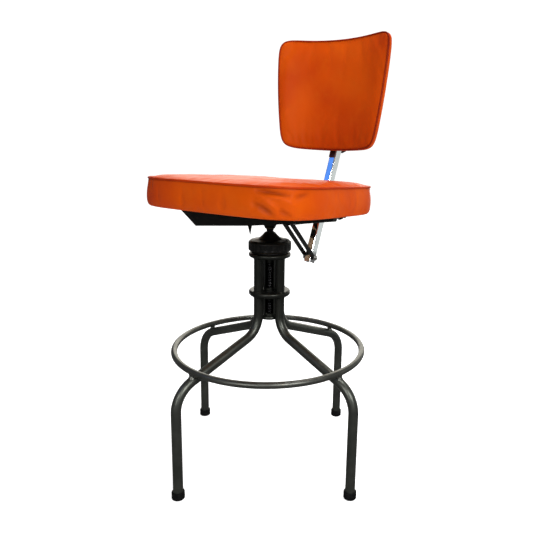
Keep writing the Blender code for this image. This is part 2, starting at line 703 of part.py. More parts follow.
def build_wing_nut(rod):
    """Wing nut on the rod: a tapered boss with two upswept wings."""
    start = ROD_END_BLOCK + 56.9
    bore = ROD_R + GAP
    boss = turned("wing_nut", [(bore, 15.0), (6.5, 15.0), (8.2, 8.0), (8.8, 0.0), (bore, 0.0)], steps=20)
    place(boss, rod, (0, start, 0), (-90, 0, 0))
    half_wing = [(4.5, 1.5), (9.0, -1.5), (13.0, -9.0), (17.5, -10.5), (19.0, -6.0), (16.0, 3.0),
                 (10.0, 6.5), (4.5, 6.0)]
    wings = []
    for side in (-1, 1):
        outline = [(side * x, y) for x, y in half_wing]
        wing = flat(f"wing_{side + 1}", outline[::side], 4.0, CUTTERS)
        wings.append(place(wing, rod, (0, start + 9.0, 0), (90, 0, 0)))
    boolean(boss, wings, "UNION")
    clear = cylinder("wing_bore", bore, 40.0, (0, start + 7, 0), "Y", 14, CUTTERS)
    boolean(boss, [place(clear, rod)])
    paint(boss, DARK_STEEL, 0.8, 0.4)


# ---------------------------------------------------------------- upright
def build_upright(upright):
    length = UPRIGHT_TOP - UPRIGHT_FOOT
    bm = bmesh.new()
    bmesh.ops.create_cube(bm, size=1.0)
    bmesh.ops.scale(bm, vec=(UPRIGHT_W, UPRIGHT_D, length), verts=bm.verts)
    fronts = [e for e in bm.edges
              if all(v.co.y < 0 for v in e.verts) and abs(e.verts[0].co.x - e.verts[1].co.x) < 1e-6]
    bmesh.ops.bevel(bm, geom=fronts, offset=2.4, segments=3, profile=0.5, affect="EDGES")
    bmesh.ops.translate(bm, vec=(0, 0, UPRIGHT_FOOT + length / 2), verts=bm.verts)
    bar = place(mesh_object("upright", scaled(bm)), upright)
    inner = (UPRIGHT_W - 2 * UPRIGHT_WALL, UPRIGHT_D, length + 20)
    hollow = box("upright_hollow", inner, (0, UPRIGHT_WALL, UPRIGHT_FOOT + length / 2), coll=CUTTERS)
    pivot = cylinder("upright_pivot", BOLT_R + GAP, 40.0, (0, 0, 0), "X", 14, CUTTERS)
    pin_slot = flat("upright_pin_slot", stadium((0, -8), (0, 8), 3.6), 40.0, CUTTERS)
    place(pin_slot, upright, (0, 0, ROD_PIN_UP), (90, 0, 90))
    slot = stadium((0, CLAMP_UP - 2), (0, CLAMP_UP + 52), CLAMP_BOLT_R + 0.5)
    clamp_slot = flat("upright_clamp_slot", slot, 8.0, CUTTERS)
    place(clamp_slot, upright, (0, -UPRIGHT_D / 2 + 1, 0), (90, 0, 0))
    boolean(bar, [place(hollow, upright), place(pivot, upright), pin_slot, clamp_slot])
    smooth(bar)
    paint(bar, CHROME, 1.0, 0.12)


def build_slider(upright):
    face = -UPRIGHT_D / 2 - GAP
    bottom, top, thick, width = 279.0, 352.0, 3.2, 17.0
    middle = (0, face - thick / 2, (top + bottom) / 2)
    slider = place(box("back_slider", (width, thick, top - bottom), middle, edge=0.5), upright)
    ears = []
    for side in (-1, 1):
        outline = lug((-HINGE_OUT, HINGE_UP), (face - 1.0, HINGE_UP), 4.8)
        ear = flat(f"slider_ear_{side + 1}", outline, 3.0, CUTTERS)
        ears.append(place(ear, upright, (side * 6.6, 0, 0), (90, 0, 90)))
    hinge = (0, -HINGE_OUT, HINGE_UP)
    pin_bore = cylinder("slider_pin_bore", HINGE_PIN_R + GAP, 40, hinge, "X", 12, CUTTERS)
    bolt_bore = cylinder("slider_bolt_bore", CLAMP_BOLT_R + GAP, 20, (0, face, CLAMP_UP), "Y", 14, CUTTERS)
    boolean(slider, ears, "UNION")
    boolean(slider, [place(pin_bore, upright), place(bolt_bore, upright)])
    paint(slider, (0.06, 0.012, 0.012), 0.4, 0.4)
    profile = [(0, 2.0), (3.0, 1.8), (5.6, 0.8), (6.2, GAP), (CLAMP_BOLT_R, GAP), (CLAMP_BOLT_R, -46.0),
               (0, -46.0)]
    head = turned("clamp_bolt", profile, steps=20)
    place(head, upright, (0, face - thick, CLAMP_UP), (90, 0, 0))
    paint(head, ZINC, 0.9, 0.3)
    pin = cylinder("hinge_pin", HINGE_PIN_R, 27.0, hinge, "X", 12, edge=0.4)
    paint(place(pin, upright), ZINC, 0.9, 0.3)
    back = UPRIGHT_D / 2 + GAP
    plate = box("clamp_plate", (UPRIGHT_W + 3, 3.0, 24.0), (0, back + 1.5, CLAMP_UP), edge=0.6)
    bore = cylinder("clamp_plate_bore", CLAMP_BOLT_R + GAP, 20, (0, back, CLAMP_UP), "Y", 14, CUTTERS)
    boolean(place(plate, upright), [place(bore, upright)])
    paint(plate, ZINC, 0.9, 0.35)


def build_clamp_knob(upright):
    start = UPRIGHT_D / 2 + 3.0 + 2 * GAP
    profile = [(0, 21.0), (8.0, 21.0), (11.2, 19.5), (12.5, 17.0), (12.5, 8.0), (11.0, 5.0), (7.5, 4.0),
               (6.8, 0.0), (4.0, 0.0), (4.0, 17.0), (0, 17.0)]
    knob = turned("clamp_knob", profile, steps=20)
    place(knob, upright, (0, start, CLAMP_UP), (-90, 0, 0))
    lobes = []
    for i in range(6):
        a = math.pi * i / 3
        spot = (15.0 * math.cos(a), start + 13.0, CLAMP_UP + 15.0 * math.sin(a))
        lobes.append(cylinder(f"knob_flute_{i}", 4.0, 24.0, spot, "Y", 10, CUTTERS))
    boolean(knob, [place(merged("knob_flutes", lobes, CUTTERS), upright)])
    paint(knob, BLACK, 0.0, 0.35)


# ---------------------------------------------------------------- backrest
def pad_outline(grow=0.0):
    return pillow_outline(PAD_TOP_W, PAD_BOTTOM_W, PAD_HEIGHT, PAD_POWER, 0.04, 0.0231,
                          lift=PAD_CORNER_LIFT, grow=grow)


def curved_slab(name, inner, outer, outline, pad, coll=None):
    """Part of a cylindrical shell, trimmed to an outline seen from the front."""
    centre = (0, -PAD_FRONT - PAD_RADIUS, PAD_CENTRE_UP)
    tall = PAD_HEIGHT / 2 + 20
    shell = turned(name, [(inner, tall), (outer, tall), (outer, -tall), (inner, -tall)], steps=72, coll=coll)
    place(shell, pad, centre)
    trim = flat(name + "_trim", outline, 160.0, CUTTERS)
    place(trim, pad, (0, -40.0, PAD_CENTRE_UP), (90, 0, 0))
    boolean(shell, [trim], "INTERSECT")
    return shell


def build_back_pad(pad):
    skin = 6.0
    cushion = curved_slab("back_cushion", PAD_RADIUS, PAD_RADIUS + PAD_THICK, pad_outline(-2 * WELT_R), pad)
    pocket = curved_slab("back_pocket", PAD_RADIUS + PAD_THICK - skin, PAD_RADIUS + PAD_THICK + 5,
                         pad_outline(-15.5), pad, CUTTERS)
    boolean(cushion, [pocket])
    paint(cushion, ORANGE, 0.0, 0.4)
    panel = curved_slab("back_panel", PAD_RADIUS + PAD_THICK - skin + GAP, PAD_RADIUS + PAD_THICK,
                        pad_outline(-16.0), pad)
    paint(panel, ORANGE, 0.0, 0.45)
    path = []
    for x, z in pad_outline(-WELT_R + GAP):
        lift = math.sqrt((PAD_RADIUS + 4.0) ** 2 - x * x)
        path.append((x, lift - PAD_RADIUS - PAD_FRONT, z + PAD_CENTRE_UP))
    paint(place(tube("back_welt", path, WELT_R - GAP, sides=6, cyclic=True), pad), ORANGE, 0.0, 0.4)
    return panel


def build_hinge_plate(pad, panel):
    rear = -PAD_FRONT + PAD_THICK + GAP
    thick = 2.5
    plate = box("hinge_plate", (44.0, thick, 54.0), (0, rear + thick / 2, 21.0), edge=0.4)
    ears = []
    for side in (-1, 1):
        ear = flat(f"plate_ear_{side + 1}", lug((0.0, 0.0), (rear + 1.0, 0.0), 4.8), 3.0, CUTTERS)
        ears.append(place(ear, pad, (side * 10.1, 0, 0), (90, 0, 90)))
    bore = cylinder("plate_bore", HINGE_PIN_R + GAP, 40, (0, 0, 0), "X", 12, CUTTERS)
    boolean(place(plate, pad), ears, "UNION")
    boolean(plate, [place(bore, pad)])
    paint(plate, (0.06, 0.012, 0.012), 0.4, 0.4)
    profile = [(0, 2.4), (2.6, 2.2), (4.2, 1.0), (4.4, GAP), (1.9, GAP), (1.9, -6.2), (0, -6.2)]
    for i, (x, z) in enumerate(((-16, 40), (16, 40))):
        screw = turned(f"plate_screw_{i + 1}", profile, steps=12)
        paint(place(screw, pad, (x, rear + thick, z), (-90, 0, 0)), ZINC, 0.9, 0.35)
        room = place(cylinder(f"plate_room_{i}", 2.2, 14.4, (x, rear + thick, z), "Y", 12, CUTTERS), pad)
        boolean(plate, [room])
        boolean(panel, [room])


# ---------------------------------------------------------------- assembly
clear_scene()
PARTS = collection("adjustable_swivel_stool")
CUTTERS = collection("cutters")

axis = frame("column_axis", None, (0, AXIS_Y, 0))
base = frame("base_frame", axis, turn=(0, 0, BASE_TURN))
build_legs(base)
build_foot_ring(base)
build_collars(base)
build_guide_tube(base)
build_bearing(base)
build_hand_nut(base)
build_screw(base)

seat = frame("seat_frame", axis, (0, 0, SEAT_Z), (-SEAT_TILT, 0, 0))
build_hub(axis)
iron = build_seat_iron(seat)
board = build_cushion(seat)
build_seat_screws(seat, iron, board)
build_rails(axis)

upright = frame("upright_frame", axis, (0, *PIVOT), (-UPRIGHT_LEAN, 0, 0))
build_upright(upright)
lean = math.radians(UPRIGHT_LEAN)
pin_at = (PIVOT[0] + ROD_PIN_UP * math.sin(lean), PIVOT[1] + ROD_PIN_UP * math.cos(lean))
rod = frame("rod_frame", axis, (0, *pin_at), (-RAIL_SLOPE, 0, 0))
build_end_block(rod)
build_rod(rod)
build_wing_nut(rod)
build_slider(upright)
build_clamp_knob(upright)

hinge_at = (PIVOT[0] - HINGE_OUT * math.cos(lean) + HINGE_UP * math.sin(lean),
            PIVOT[1] + HINGE_OUT * math.sin(lean) + HINGE_UP * math.cos(lean))
pad = frame("pad_frame", axis, (0, *hinge_at), (-PAD_TILT, 0, 0))
panel = build_back_pad(pad)
build_hinge_plate(pad, panel)
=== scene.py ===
"""Looks of the adjustable swivel stool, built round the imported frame.

Lengths are millimetres until they reach a mesh, where MM turns them into metres.
"""

import json
import math

import bmesh
import bpy
from mathutils import Matrix, Vector, noise


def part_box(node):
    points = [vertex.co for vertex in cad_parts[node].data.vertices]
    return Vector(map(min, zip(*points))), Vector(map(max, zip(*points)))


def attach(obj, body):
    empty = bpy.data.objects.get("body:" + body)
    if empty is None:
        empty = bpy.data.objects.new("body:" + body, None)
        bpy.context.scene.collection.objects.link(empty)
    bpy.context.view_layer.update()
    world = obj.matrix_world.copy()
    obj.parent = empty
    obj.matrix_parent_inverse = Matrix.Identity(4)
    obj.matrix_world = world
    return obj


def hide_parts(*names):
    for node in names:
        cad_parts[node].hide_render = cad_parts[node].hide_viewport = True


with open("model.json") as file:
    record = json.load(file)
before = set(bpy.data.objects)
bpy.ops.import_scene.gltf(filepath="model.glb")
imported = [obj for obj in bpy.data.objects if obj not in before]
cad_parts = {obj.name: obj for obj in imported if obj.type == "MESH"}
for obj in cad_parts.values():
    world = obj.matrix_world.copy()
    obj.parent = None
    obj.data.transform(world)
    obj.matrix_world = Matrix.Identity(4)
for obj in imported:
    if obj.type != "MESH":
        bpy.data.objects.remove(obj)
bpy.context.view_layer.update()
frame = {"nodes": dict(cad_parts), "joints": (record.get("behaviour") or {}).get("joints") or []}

MM = 0.001
NODES = frame["nodes"]
JOINTS = {joint["name"]: joint for joint in frame["joints"]}
TAU = 2 * math.pi

NOISE_SEED = 1
noise.seed_set(NOISE_SEED)     # noise_vector is seeded from the clock otherwise

# Base
TUBE_R = 11.1
COLUMN_R = 35.2
FOOT_R = 268.7
KNEE_BEND_R = 55.0
HIP_BEND_R = 64.0
KNEE_Z = 334.0
HIP_Z = 246.5
LEG_TOP_Z = 509.7
LEG_BOTTOM_Z = 3.5
BASE_TURN = math.radians(34.95)
RING_R = 226.7
RING_ROD_R = 7.3
RING_Z = 285.5
RING_POST_R = 6.0
LEG_ANGLES = [math.radians(45 + 90 * i) for i in range(4)]
COLUMN_BORE_R = 9.85    # clearance round the screw
GUIDE_TUBE_R = 14.3     # bore of the lower collar
TOP_BOSS_R = 11.2
COLLAR_THICK = 10.0

# Height adjustment
HAND_NUT_R = 50.6
HAND_NUT_FLUTES = 20
SCREW_R = 9.5
SCREW_LEAD = 12.7
SCREW_STARTS = 2
SCREW_THREAD = 1.5      # depth
SCREW_TOP_Z = 577.2
SPIGOT_R = 7.9
KEYWAY_Z = (423.0, 526.0)
KEYWAY_DEPTH_AT = 7.2   # from the axis to the floor of the keyway

# Seat and back upholstery
SEAT_ORIGIN_Z = 624.0
SEAT_TILT = math.radians(2.29)
SEAT_CENTRE_Y = -40.8
SEAT_REAR_W = 443.0
SEAT_FRONT_W = 430.0
SEAT_DEPTH = 361.0
SEAT_THICK = 65.0
SEAT_POWER = 5.2
BEAD_R = 2.3
PAD_TILT = math.radians(7.0)
PAD_FRONT = 28.75
PAD_CENTRE_UP = 101.75
PAD_TOP_W = 333.0
PAD_BOTTOM_W = 281.4
PAD_HEIGHT = 285.3
PAD_CORNER_LIFT = 4.0
PAD_RADIUS = 357.0
PAD_POWER = 10.9

# Camera
CAMERA_AT = (758.7, -1041.6, 768.9)
CAMERA_YAW = math.radians(32.6)
CAMERA_PITCH = math.radians(11.67)
CAMERA_ROLL = 0.0243
CAMERA_LENS = 35.914
CAMERA_SHIFT = (-0.0760, -0.0237)


# ---------------------------------------------------------------- frames
def frame_matrix(origin, y_axis, z_axis):
    """Local frame with X to the sitter's left, from an origin in metres and two of its axes."""
    y, z = Vector(y_axis).normalized(), Vector(z_axis).normalized()
    x = y.cross(z)
    turn = Matrix((x, y, z)).transposed().to_4x4()
    return Matrix.Translation(origin) @ turn


def tilted(origin, angle):
    """Frame leaning back from upright by angle."""
    return frame_matrix(origin, (0, math.cos(angle), -math.sin(angle)), (0, math.sin(angle), math.cos(angle)))


AXIS_AT = Vector((0, JOINTS["seat_swivel"]["pos_m"][1], 0))
COLUMN = Matrix.Translation(AXIS_AT)
BASE = COLUMN @ Matrix.Rotation(BASE_TURN, 4, "Z")
SEAT = tilted(AXIS_AT + Vector((0, 0, SEAT_ORIGIN_Z * MM)), SEAT_TILT)
ROD_AXIS = Vector(JOINTS["rod_slide"]["axis"])
ROD = frame_matrix(JOINTS["wing_nut_turn"]["pos_m"], ROD_AXIS, Vector((1, 0, 0)).cross(ROD_AXIS))
PAD = tilted(Vector(JOINTS["back_tilt"]["pos_m"]), PAD_TILT)


# ---------------------------------------------------------------- mesh helpers
def piece(name, verts, faces, body, matrix=Matrix.Identity(4), smooth=35.0):
    """Mesh object from millimetre points in a local frame, riding on a body."""
    mesh = bpy.data.meshes.new(name)
    mesh.from_pydata([matrix @ (Vector(v) * MM) for v in verts], [], faces)
    bm = bmesh.new()
    bm.from_mesh(mesh)
    bmesh.ops.recalc_face_normals(bm, faces=bm.faces)
    bm.to_mesh(mesh)
    bm.free()
    for poly in mesh.polygons:
        poly.use_smooth = True
    mesh.set_sharp_from_angle(angle=math.radians(smooth))
    obj = bpy.data.objects.new(name, mesh)
    bpy.context.scene.collection.objects.link(obj)
    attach(obj, body)
    return obj


class Shape:
    """Points and faces of one piece, gathered from several forms."""

    def __init__(self):
        self.verts = []
        self.faces = []

    def add(self, verts, faces, matrix=None):
        start = len(self.verts)
        self.verts += [matrix @ Vector(v) if matrix else Vector(v) for v in verts]
        self.faces += [tuple(start + i for i in face) for face in faces]
        return self


def skin(rings, cyclic=False, caps=True):
    """Verts and faces of a surface through rings of equal length."""
    count = len(rings[0])
    verts = [v for ring in rings for v in ring]
    faces = []
    for j in range(len(rings) if cyclic else len(rings) - 1):
        a, b = j * count, (j + 1) % len(rings) * count
        for i in range(count):
            k = (i + 1) % count
            faces.append((a + i, a + k, b + k, b + i))
    if caps and not cyclic:
        faces.append(tuple(reversed(range(count))))
        faces.append(tuple(range(len(verts) - count, len(verts))))
    return verts, faces


def rounded(profile, radius, steps=4, closed=False):
    """Polyline with its corners rounded; radius is trimmed where a side is short."""
    count = len(profile)
    out = []
    for i, here in enumerate(profile):
        if not closed and i in (0, count - 1):
            out.append(here)
            continue
        p = Vector(here)
        a, b = Vector(profile[i - 1]) - p, Vector(profile[(i + 1) % count]) - p
        reach = min(radius, 0.45 * a.length, 0.45 * b.length)
        start, end = p + a.normalized() * reach, p + b.normalized() * reach
        for j in range(steps + 1):
            t = j / steps
            out.append(tuple(start * (1 - t) ** 2 + p * 2 * t * (1 - t) + end * t * t))
    return out


def lathe(profile, steps=64, warp=None, closed=False):
    """Surface of revolution about Z. warp(angle, radius, height) gives the radius used."""
    rings = []
    for r, z in profile:
        ring = []
        for i in range(steps):
            a = TAU * i / steps
            use = warp(a, r, z) if warp else r
            ring.append((use * math.cos(a), use * math.sin(a), z))
        rings.append(ring)
    return skin(rings, cyclic=closed)


def sweep(path, radius, ref, sides=16, cyclic=False, caps=True):
    """Round bar along a path. ref is a direction that the path never runs along."""
    pts = [Vector(p) for p in path]
    last = len(pts) - 1
    rings = []
    for i, p in enumerate(pts):
        before = pts[i - 1] if i or cyclic else p
        after = pts[(i + 1) % len(pts)] if i < last or cyclic else p
        side = (after - before).cross(Vector(ref)).normalized()
        up = side.cross(after - before).normalized()
        rings.append([p + (side * math.cos(TAU * k / sides) + up * math.sin(TAU * k / sides)) * radius
                      for k in range(sides)])
    return skin(rings, cyclic=cyclic, caps=caps)


# ---------------------------------------------------------------- materials
class Look:
    """Node material in object coordinates, built up one feature at a time."""

    def __init__(self, name, rough, metallic=0.0, **sockets):
        self.material = bpy.data.materials.new(name)
        self.material.use_nodes = True
        self.tree = self.material.node_tree
        self.shader = self.tree.nodes["Principled BSDF"]
        self.shader.inputs["Metallic"].default_value = metallic
        self.shader.inputs["Roughness"].default_value = rough
        for socket, value in sockets.items():
            self.shader.inputs[socket.replace("_", " ")].default_value = value
        self.coords = self.node("ShaderNodeTexCoord").outputs["Object"]
        self.normal = None

    def node(self, kind, **settings):
        made = self.tree.nodes.new(kind)
        for key, value in settings.items():
            setattr(made, key, value)
        return made

    def link(self, out, into):
        self.tree.links.new(out, into)

    def stretched(self, scale):
        mapping = self.node("ShaderNodeMapping")
        mapping.inputs["Scale"].default_value = scale
        self.link(self.coords, mapping.inputs["Vector"])
        return mapping.outputs["Vector"]

    def noise(self, scale, detail=3.0, rough=0.55, coords=None):
        made = self.node("ShaderNodeTexNoise")
        made.inputs["Scale"].default_value = scale
        made.inputs["Detail"].default_value = detail
        made.inputs["Roughness"].default_value = rough
        self.link(coords or self.coords, made.inputs["Vector"])
        return made.outputs["Fac"]

    def cells(self, scale, feature="F1", coords=None):
        made = self.node("ShaderNodeTexVoronoi", feature=feature)
        made.inputs["Scale"].default_value = scale
        self.link(coords or self.coords, made.inputs["Vector"])
        return made.outputs["Distance"]

    def attribute(self, name):
        return self.node("ShaderNodeAttribute", attribute_name=name).outputs["Fac"]

    def curve(self, fac, low, high, to_low=0.0, to_high=1.0):
        made = self.node("ShaderNodeMapRange")
        for key, value in zip(("From Min", "From Max", "To Min", "To Max"), (low, high, to_low, to_high)):
            made.inputs[key].default_value = value
        self.link(fac, made.inputs["Value"])
        return made.outputs["Result"]

    def mix(self, fac, dark, light):
        made = self.node("ShaderNodeMix", data_type="RGBA")
        for socket, value in ((made.inputs[6], dark), (made.inputs[7], light)):
            if isinstance(value, tuple):
                socket.default_value = (*value, 1.0)
            else:
                self.link(value, socket)
        self.link(fac, made.inputs[0])
        return made.outputs[2]

    def colour(self, out):
        self.link(out, self.shader.inputs["Base Color"])
        return self

    def roughness(self, fac, low, high, to_low, to_high):
        self.link(self.curve(fac, low, high, to_low, to_high), self.shader.inputs["Roughness"])
        return self

    def bump(self, height, strength, depth_mm):
        made = self.node("ShaderNodeBump")
        made.inputs["Strength"].default_value = strength
        made.inputs["Distance"].default_value = depth_mm * MM
        self.link(height, made.inputs["Height"])
        if self.normal:
            self.link(self.normal, made.inputs["Normal"])
        self.normal = made.outputs["Normal"]
        self.link(self.normal, self.shader.inputs["Normal"])
        return self


def vinyl(name, deep, bright, dull):
    """Old upholstery vinyl: printed grain, uneven fading, scuffs, and painted shade in the creases and seam
    grooves.
    """
    look = Look(name, 0.4, Specular_IOR_Level=0.06)
    fade = look.curve(look.noise(5.0, 2.0), 0.35, 0.65)
    base = look.mix(fade, deep, bright)
    patches = look.curve(look.noise(28.0, 4.0, 0.6), 0.5, 0.8, 0.0, 0.35)
    base = look.mix(patches, base, dull)
    spots = look.curve(look.cells(34.0), 0.015, 0.045, 0.35, 0.0)
    base = look.mix(spots, base, tuple(0.45 * v for v in deep))
    # painted shade: darker where the stored crease values mark seam grooves and fold valleys
    base = look.mix(look.attribute("crease_shade"), base, tuple(0.28 * v for v in deep))
    look.colour(base)
    look.roughness(look.noise(16.0, 5.0, 0.6), 0.35, 0.7, 0.33, 0.5)
    look.bump(look.cells(780.0, "SMOOTH_F1"), 0.25, 0.12)
    look.bump(look.noise(90.0, 4.0, 0.6), 0.12, 0.8)
    return look.material


def enamel(name, dark, light, grain, depth, rough, wear=None, metallic=0.0, level=0.5, painted_shade_heights=None):
    """Sprayed or hammered paint.

    wear is a colour that shows through in patches. The last argument gives two heights in metres: from the
    lower one up to the upper one the colour darkens towards near black, a painted shade for the seat's shadow
    on the column.
    """
    look = Look(name, rough, metallic, Specular_IOR_Level=level)
    base = look.mix(look.curve(look.noise(22.0, 4.0), 0.35, 0.7), dark, light)
    if wear:
        chips = look.curve(look.noise(75.0, 6.0, 0.7), 0.6, 0.68, 0.0, 0.8)
        base = look.mix(chips, base, wear)
    # painted shade: the paint goes darker with height, where the seat shades the column and the tops of the
    # legs
    if painted_shade_heights:
        height = look.node("ShaderNodeSeparateXYZ")
        look.link(look.coords, height.inputs["Vector"])
        base = look.mix(look.curve(height.outputs["Z"], *painted_shade_heights, 0.0, 0.75), base, (0.005, 0.005, 0.004))
    look.colour(base)
    look.roughness(look.noise(40.0, 4.0), 0.3, 0.7, rough * 0.85, rough * 1.15)
    look.bump(look.cells(grain, "SMOOTH_F1"), 0.35, depth)
    return look.material


def steel(name, dark, light, rough, scratch=(900.0, 900.0, 60.0), bump=0.05):
    """Plated or oiled steel with drawn scratches and dull patches."""
    look = Look(name, rough, 1.0)
    lines = look.noise(1.0, 4.0, 0.6, look.stretched(scratch))
    base = look.mix(look.curve(look.noise(45.0, 4.0), 0.35, 0.7), dark, light)
    look.colour(base)
    look.roughness(lines, 0.3, 0.7, rough * 0.75, rough * 1.35)
    look.bump(lines, 0.3, bump)
    return look.material


def plywood(name):
    look = Look(name, 0.65)
    grain = look.noise(1.0, 5.0, 0.65, look.stretched((14.0, 170.0, 60.0)))
    bands = look.noise(1.0, 2.0, 0.5, look.stretched((3.0, 22.0, 22.0)))
    base = look.mix(look.curve(grain, 0.3, 0.7), (0.26, 0.15, 0.075), (0.5, 0.34, 0.19))
    base = look.mix(look.curve(bands, 0.4, 0.75, 0.0, 0.5), base, (0.2, 0.11, 0.055))
    look.colour(base)
    look.bump(grain, 0.4, 0.3)
    return look.material


def rubber(name):
    look = Look(name, 0.6, Specular_IOR_Level=0.12)
    dust = look.curve(look.noise(70.0, 5.0, 0.65), 0.45, 0.8)
    look.colour(look.mix(dust, (0.0025, 0.0025, 0.003), (0.012, 0.011, 0.01)))
    look.roughness(look.noise(130.0, 4.0), 0.3, 0.7, 0.5, 0.8)
    look.bump(look.noise(600.0, 3.0), 0.3, 0.12)
    return look.material


def chrome(name):
    look = Look(name, 0.06, 1.0)
    haze = look.noise(30.0, 5.0, 0.65)
    look.colour(look.mix(look.curve(haze, 0.45, 0.75), (0.86, 0.87, 0.88), (0.7, 0.7, 0.69)))
    look.roughness(haze, 0.4, 0.8, 0.05, 0.16)
    look.bump(look.noise(1.0, 4.0, 0.6, look.stretched((500.0, 60.0, 60.0))), 0.05, 0.004)
    return look.material


VINYL = vinyl("orange_vinyl", (0.455, 0.039, 0.0002), (0.59, 0.074, 0.0003), (0.56, 0.095, 0.003))
# both piping colours are darker than the cover: partly the bead's own deeper red, partly painted shade of the
# bead's underside and the groove beside it
PIPING_AND_SHADE = vinyl("piping_vinyl_and_shade", (0.17, 0.008, 0.0005), (0.30, 0.022, 0.001), (0.27, 0.025, 0.003))
SEAT_PIPING_AND_SHADE = vinyl("seat_piping_vinyl_and_shade", (0.3, 0.018, 0.0005), (0.43, 0.035, 0.001), (0.42, 0.05, 0.003))
# the two heights at the end paint shade over the column top, standing for the seat's shadow
PAINT = enamel("hammered_paint", (0.072, 0.077, 0.067), (0.105, 0.11, 0.096), 330.0, 0.14, 0.38,
               metallic=0.88, painted_shade_heights=(0.3, 0.42))
# ring paint lighter than the leg paint: a painted highlight on the ring; the brown chips are wear
RING_PAINT_LIT = enamel("ring_paint_lit", (0.085, 0.088, 0.078), (0.13, 0.132, 0.118), 330.0, 0.14, 0.38,
                    wear=(0.17, 0.14, 0.11), metallic=0.88)
BLACK = enamel("black_enamel", (0.0022, 0.0022, 0.002), (0.005, 0.005, 0.0045), 500.0, 0.1, 0.42,
               wear=(0.016, 0.012, 0.009), level=0.16)
MAROON = enamel("maroon_enamel", (0.022, 0.004, 0.004), (0.04, 0.008, 0.008), 500.0, 0.08, 0.35, level=0.35)
PLASTIC = enamel("black_plastic", (0.006, 0.006, 0.006), (0.011, 0.011, 0.011), 900.0, 0.05, 0.3)
OILED = steel("oiled_steel", (0.014, 0.014, 0.015), (0.034, 0.033, 0.035), 0.34)
ZINC = steel("zinc_plate", (0.36, 0.36, 0.34), (0.55, 0.55, 0.53), 0.32)
BRONZE = steel("tarnished_bronze", (0.035, 0.024, 0.014), (0.07, 0.048, 0.028), 0.4)
WOOD = plywood("bare_plywood")
RUBBER = rubber("black_rubber")
CHROME = chrome("polished_chrome")


def coat(obj, material):
    obj.data.materials.clear()
    obj.data.materials.append(material)
    return obj


def keep(material, *names, edge=0.0):
    """CAD nodes that stay, with a better material and, where asked, a broken edge."""
    for name in names:
        obj = NODES[name]
        coat(obj, material)
        for poly in obj.data.polygons:
            poly.use_smooth = True
        obj.data.set_sharp_from_angle(angle=math.radians(35))
        if edge:
            bevel = obj.modifiers.new("edge", "BEVEL")
            bevel.width = edge * MM
            bevel.segments = 2
            bevel.limit_method = "ANGLE"
            bevel.angle_limit = math.radians(38)
            bevel.harden_normals = True
        flats = obj.modifiers.new("flats", "WEIGHTED_NORMAL")
        flats.weight = 100
        flats.keep_sharp = True


# ---------------------------------------------------------------- round forms
def axial(origin, direction):
    """Local frame whose Z runs along direction; origin in metres."""
    z = Vector(direction).normalized()
    x = Vector((1, 0, 0)) if abs(z.x) < 0.9 else Vector((0, 1, 0))
    y = z.cross(x).normalized()
    turn = Matrix((y.cross(z), y, z)).transposed().to_4x4()
    return Matrix.Translation(origin) @ turn


def spun(name, profile, body, material, matrix=COLUMN, steps=72, corner=1.2, warp=None, replaces=(),
         closed=True):
    """Turned piece with softened corners that stands for CAD nodes."""
    obj = piece(name, *lathe(rounded(profile, corner, 4, closed), steps, warp, closed), body, matrix)
    coat(obj, material)
    if replaces:
        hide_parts(*replaces)
    return obj


def thread(radius, depth, lead, starts=1, crest=0.35):
    """Warp for lathe(): a trapezoidal thread cut into a bar."""
    def warp(a, r, z):
        phase = (z / lead - a / TAU) * starts % 1.0
        ramp = min(abs(phase - 0.5) / (0.5 - crest / 2), 1.0)
        return min(r, radius - depth * max(0.0, min(1.0, (ramp - 0.3) / 0.4)))
    return warp


def hexagon(across):
    """Warp for lathe(): flats at across/2, corners trimmed to the profile's own radius."""
    def warp(a, r, z):
        inner = (a + math.pi / 6) % (math.pi / 3) - math.pi / 6
        return min(r, across / 2 / math.cos(inner))
    return warp


def hex_form(across, z0, z1):
    """Hexagon with chamfered faces."""
    flat, tip = across / 2 * 0.98, across / 2 * 1.17
    profile = [(0.01, z0), (flat, z0), (tip, z0 + 1.0), (tip, z1 - 1.0), (flat, z1), (0.01, z1)]
    return lathe(rounded(profile, 0.25, 2), 72, hexagon(across))


def plate_form(outline, thick, edge=0.8, steps=3):
    """Flat plate in XY with rounded edges, centred on z = 0."""
    pts = [Vector(p) for p in outline]
    count = len(pts)
    normals = []
    for i in range(count):
        along = (pts[(i + 1) % count] - pts[i - 1]).normalized()
        normals.append(Vector((along.y, -along.x)))
    rings = []
    for sign in (-1, 1):
        for j in range(steps + 1):
            a = math.pi / 2 * (j / steps if sign < 0 else 1 - j / steps)
            inset, z = edge * (1 - math.sin(a)), sign * (thick / 2 - edge + edge * math.cos(a))
            rings.append([(*(p - n * inset), z) for p, n in zip(pts, normals)])
    return skin(rings)


def lumpy(verts, size, scale, seed):
    """The same points moved a little by noise, as in a weld."""
    shift = Vector((seed * 7.3, seed * 3.1, seed * 5.7))
    return [Vector(v) + noise.noise_vector(Vector(v) * scale + shift) * size for v in verts]


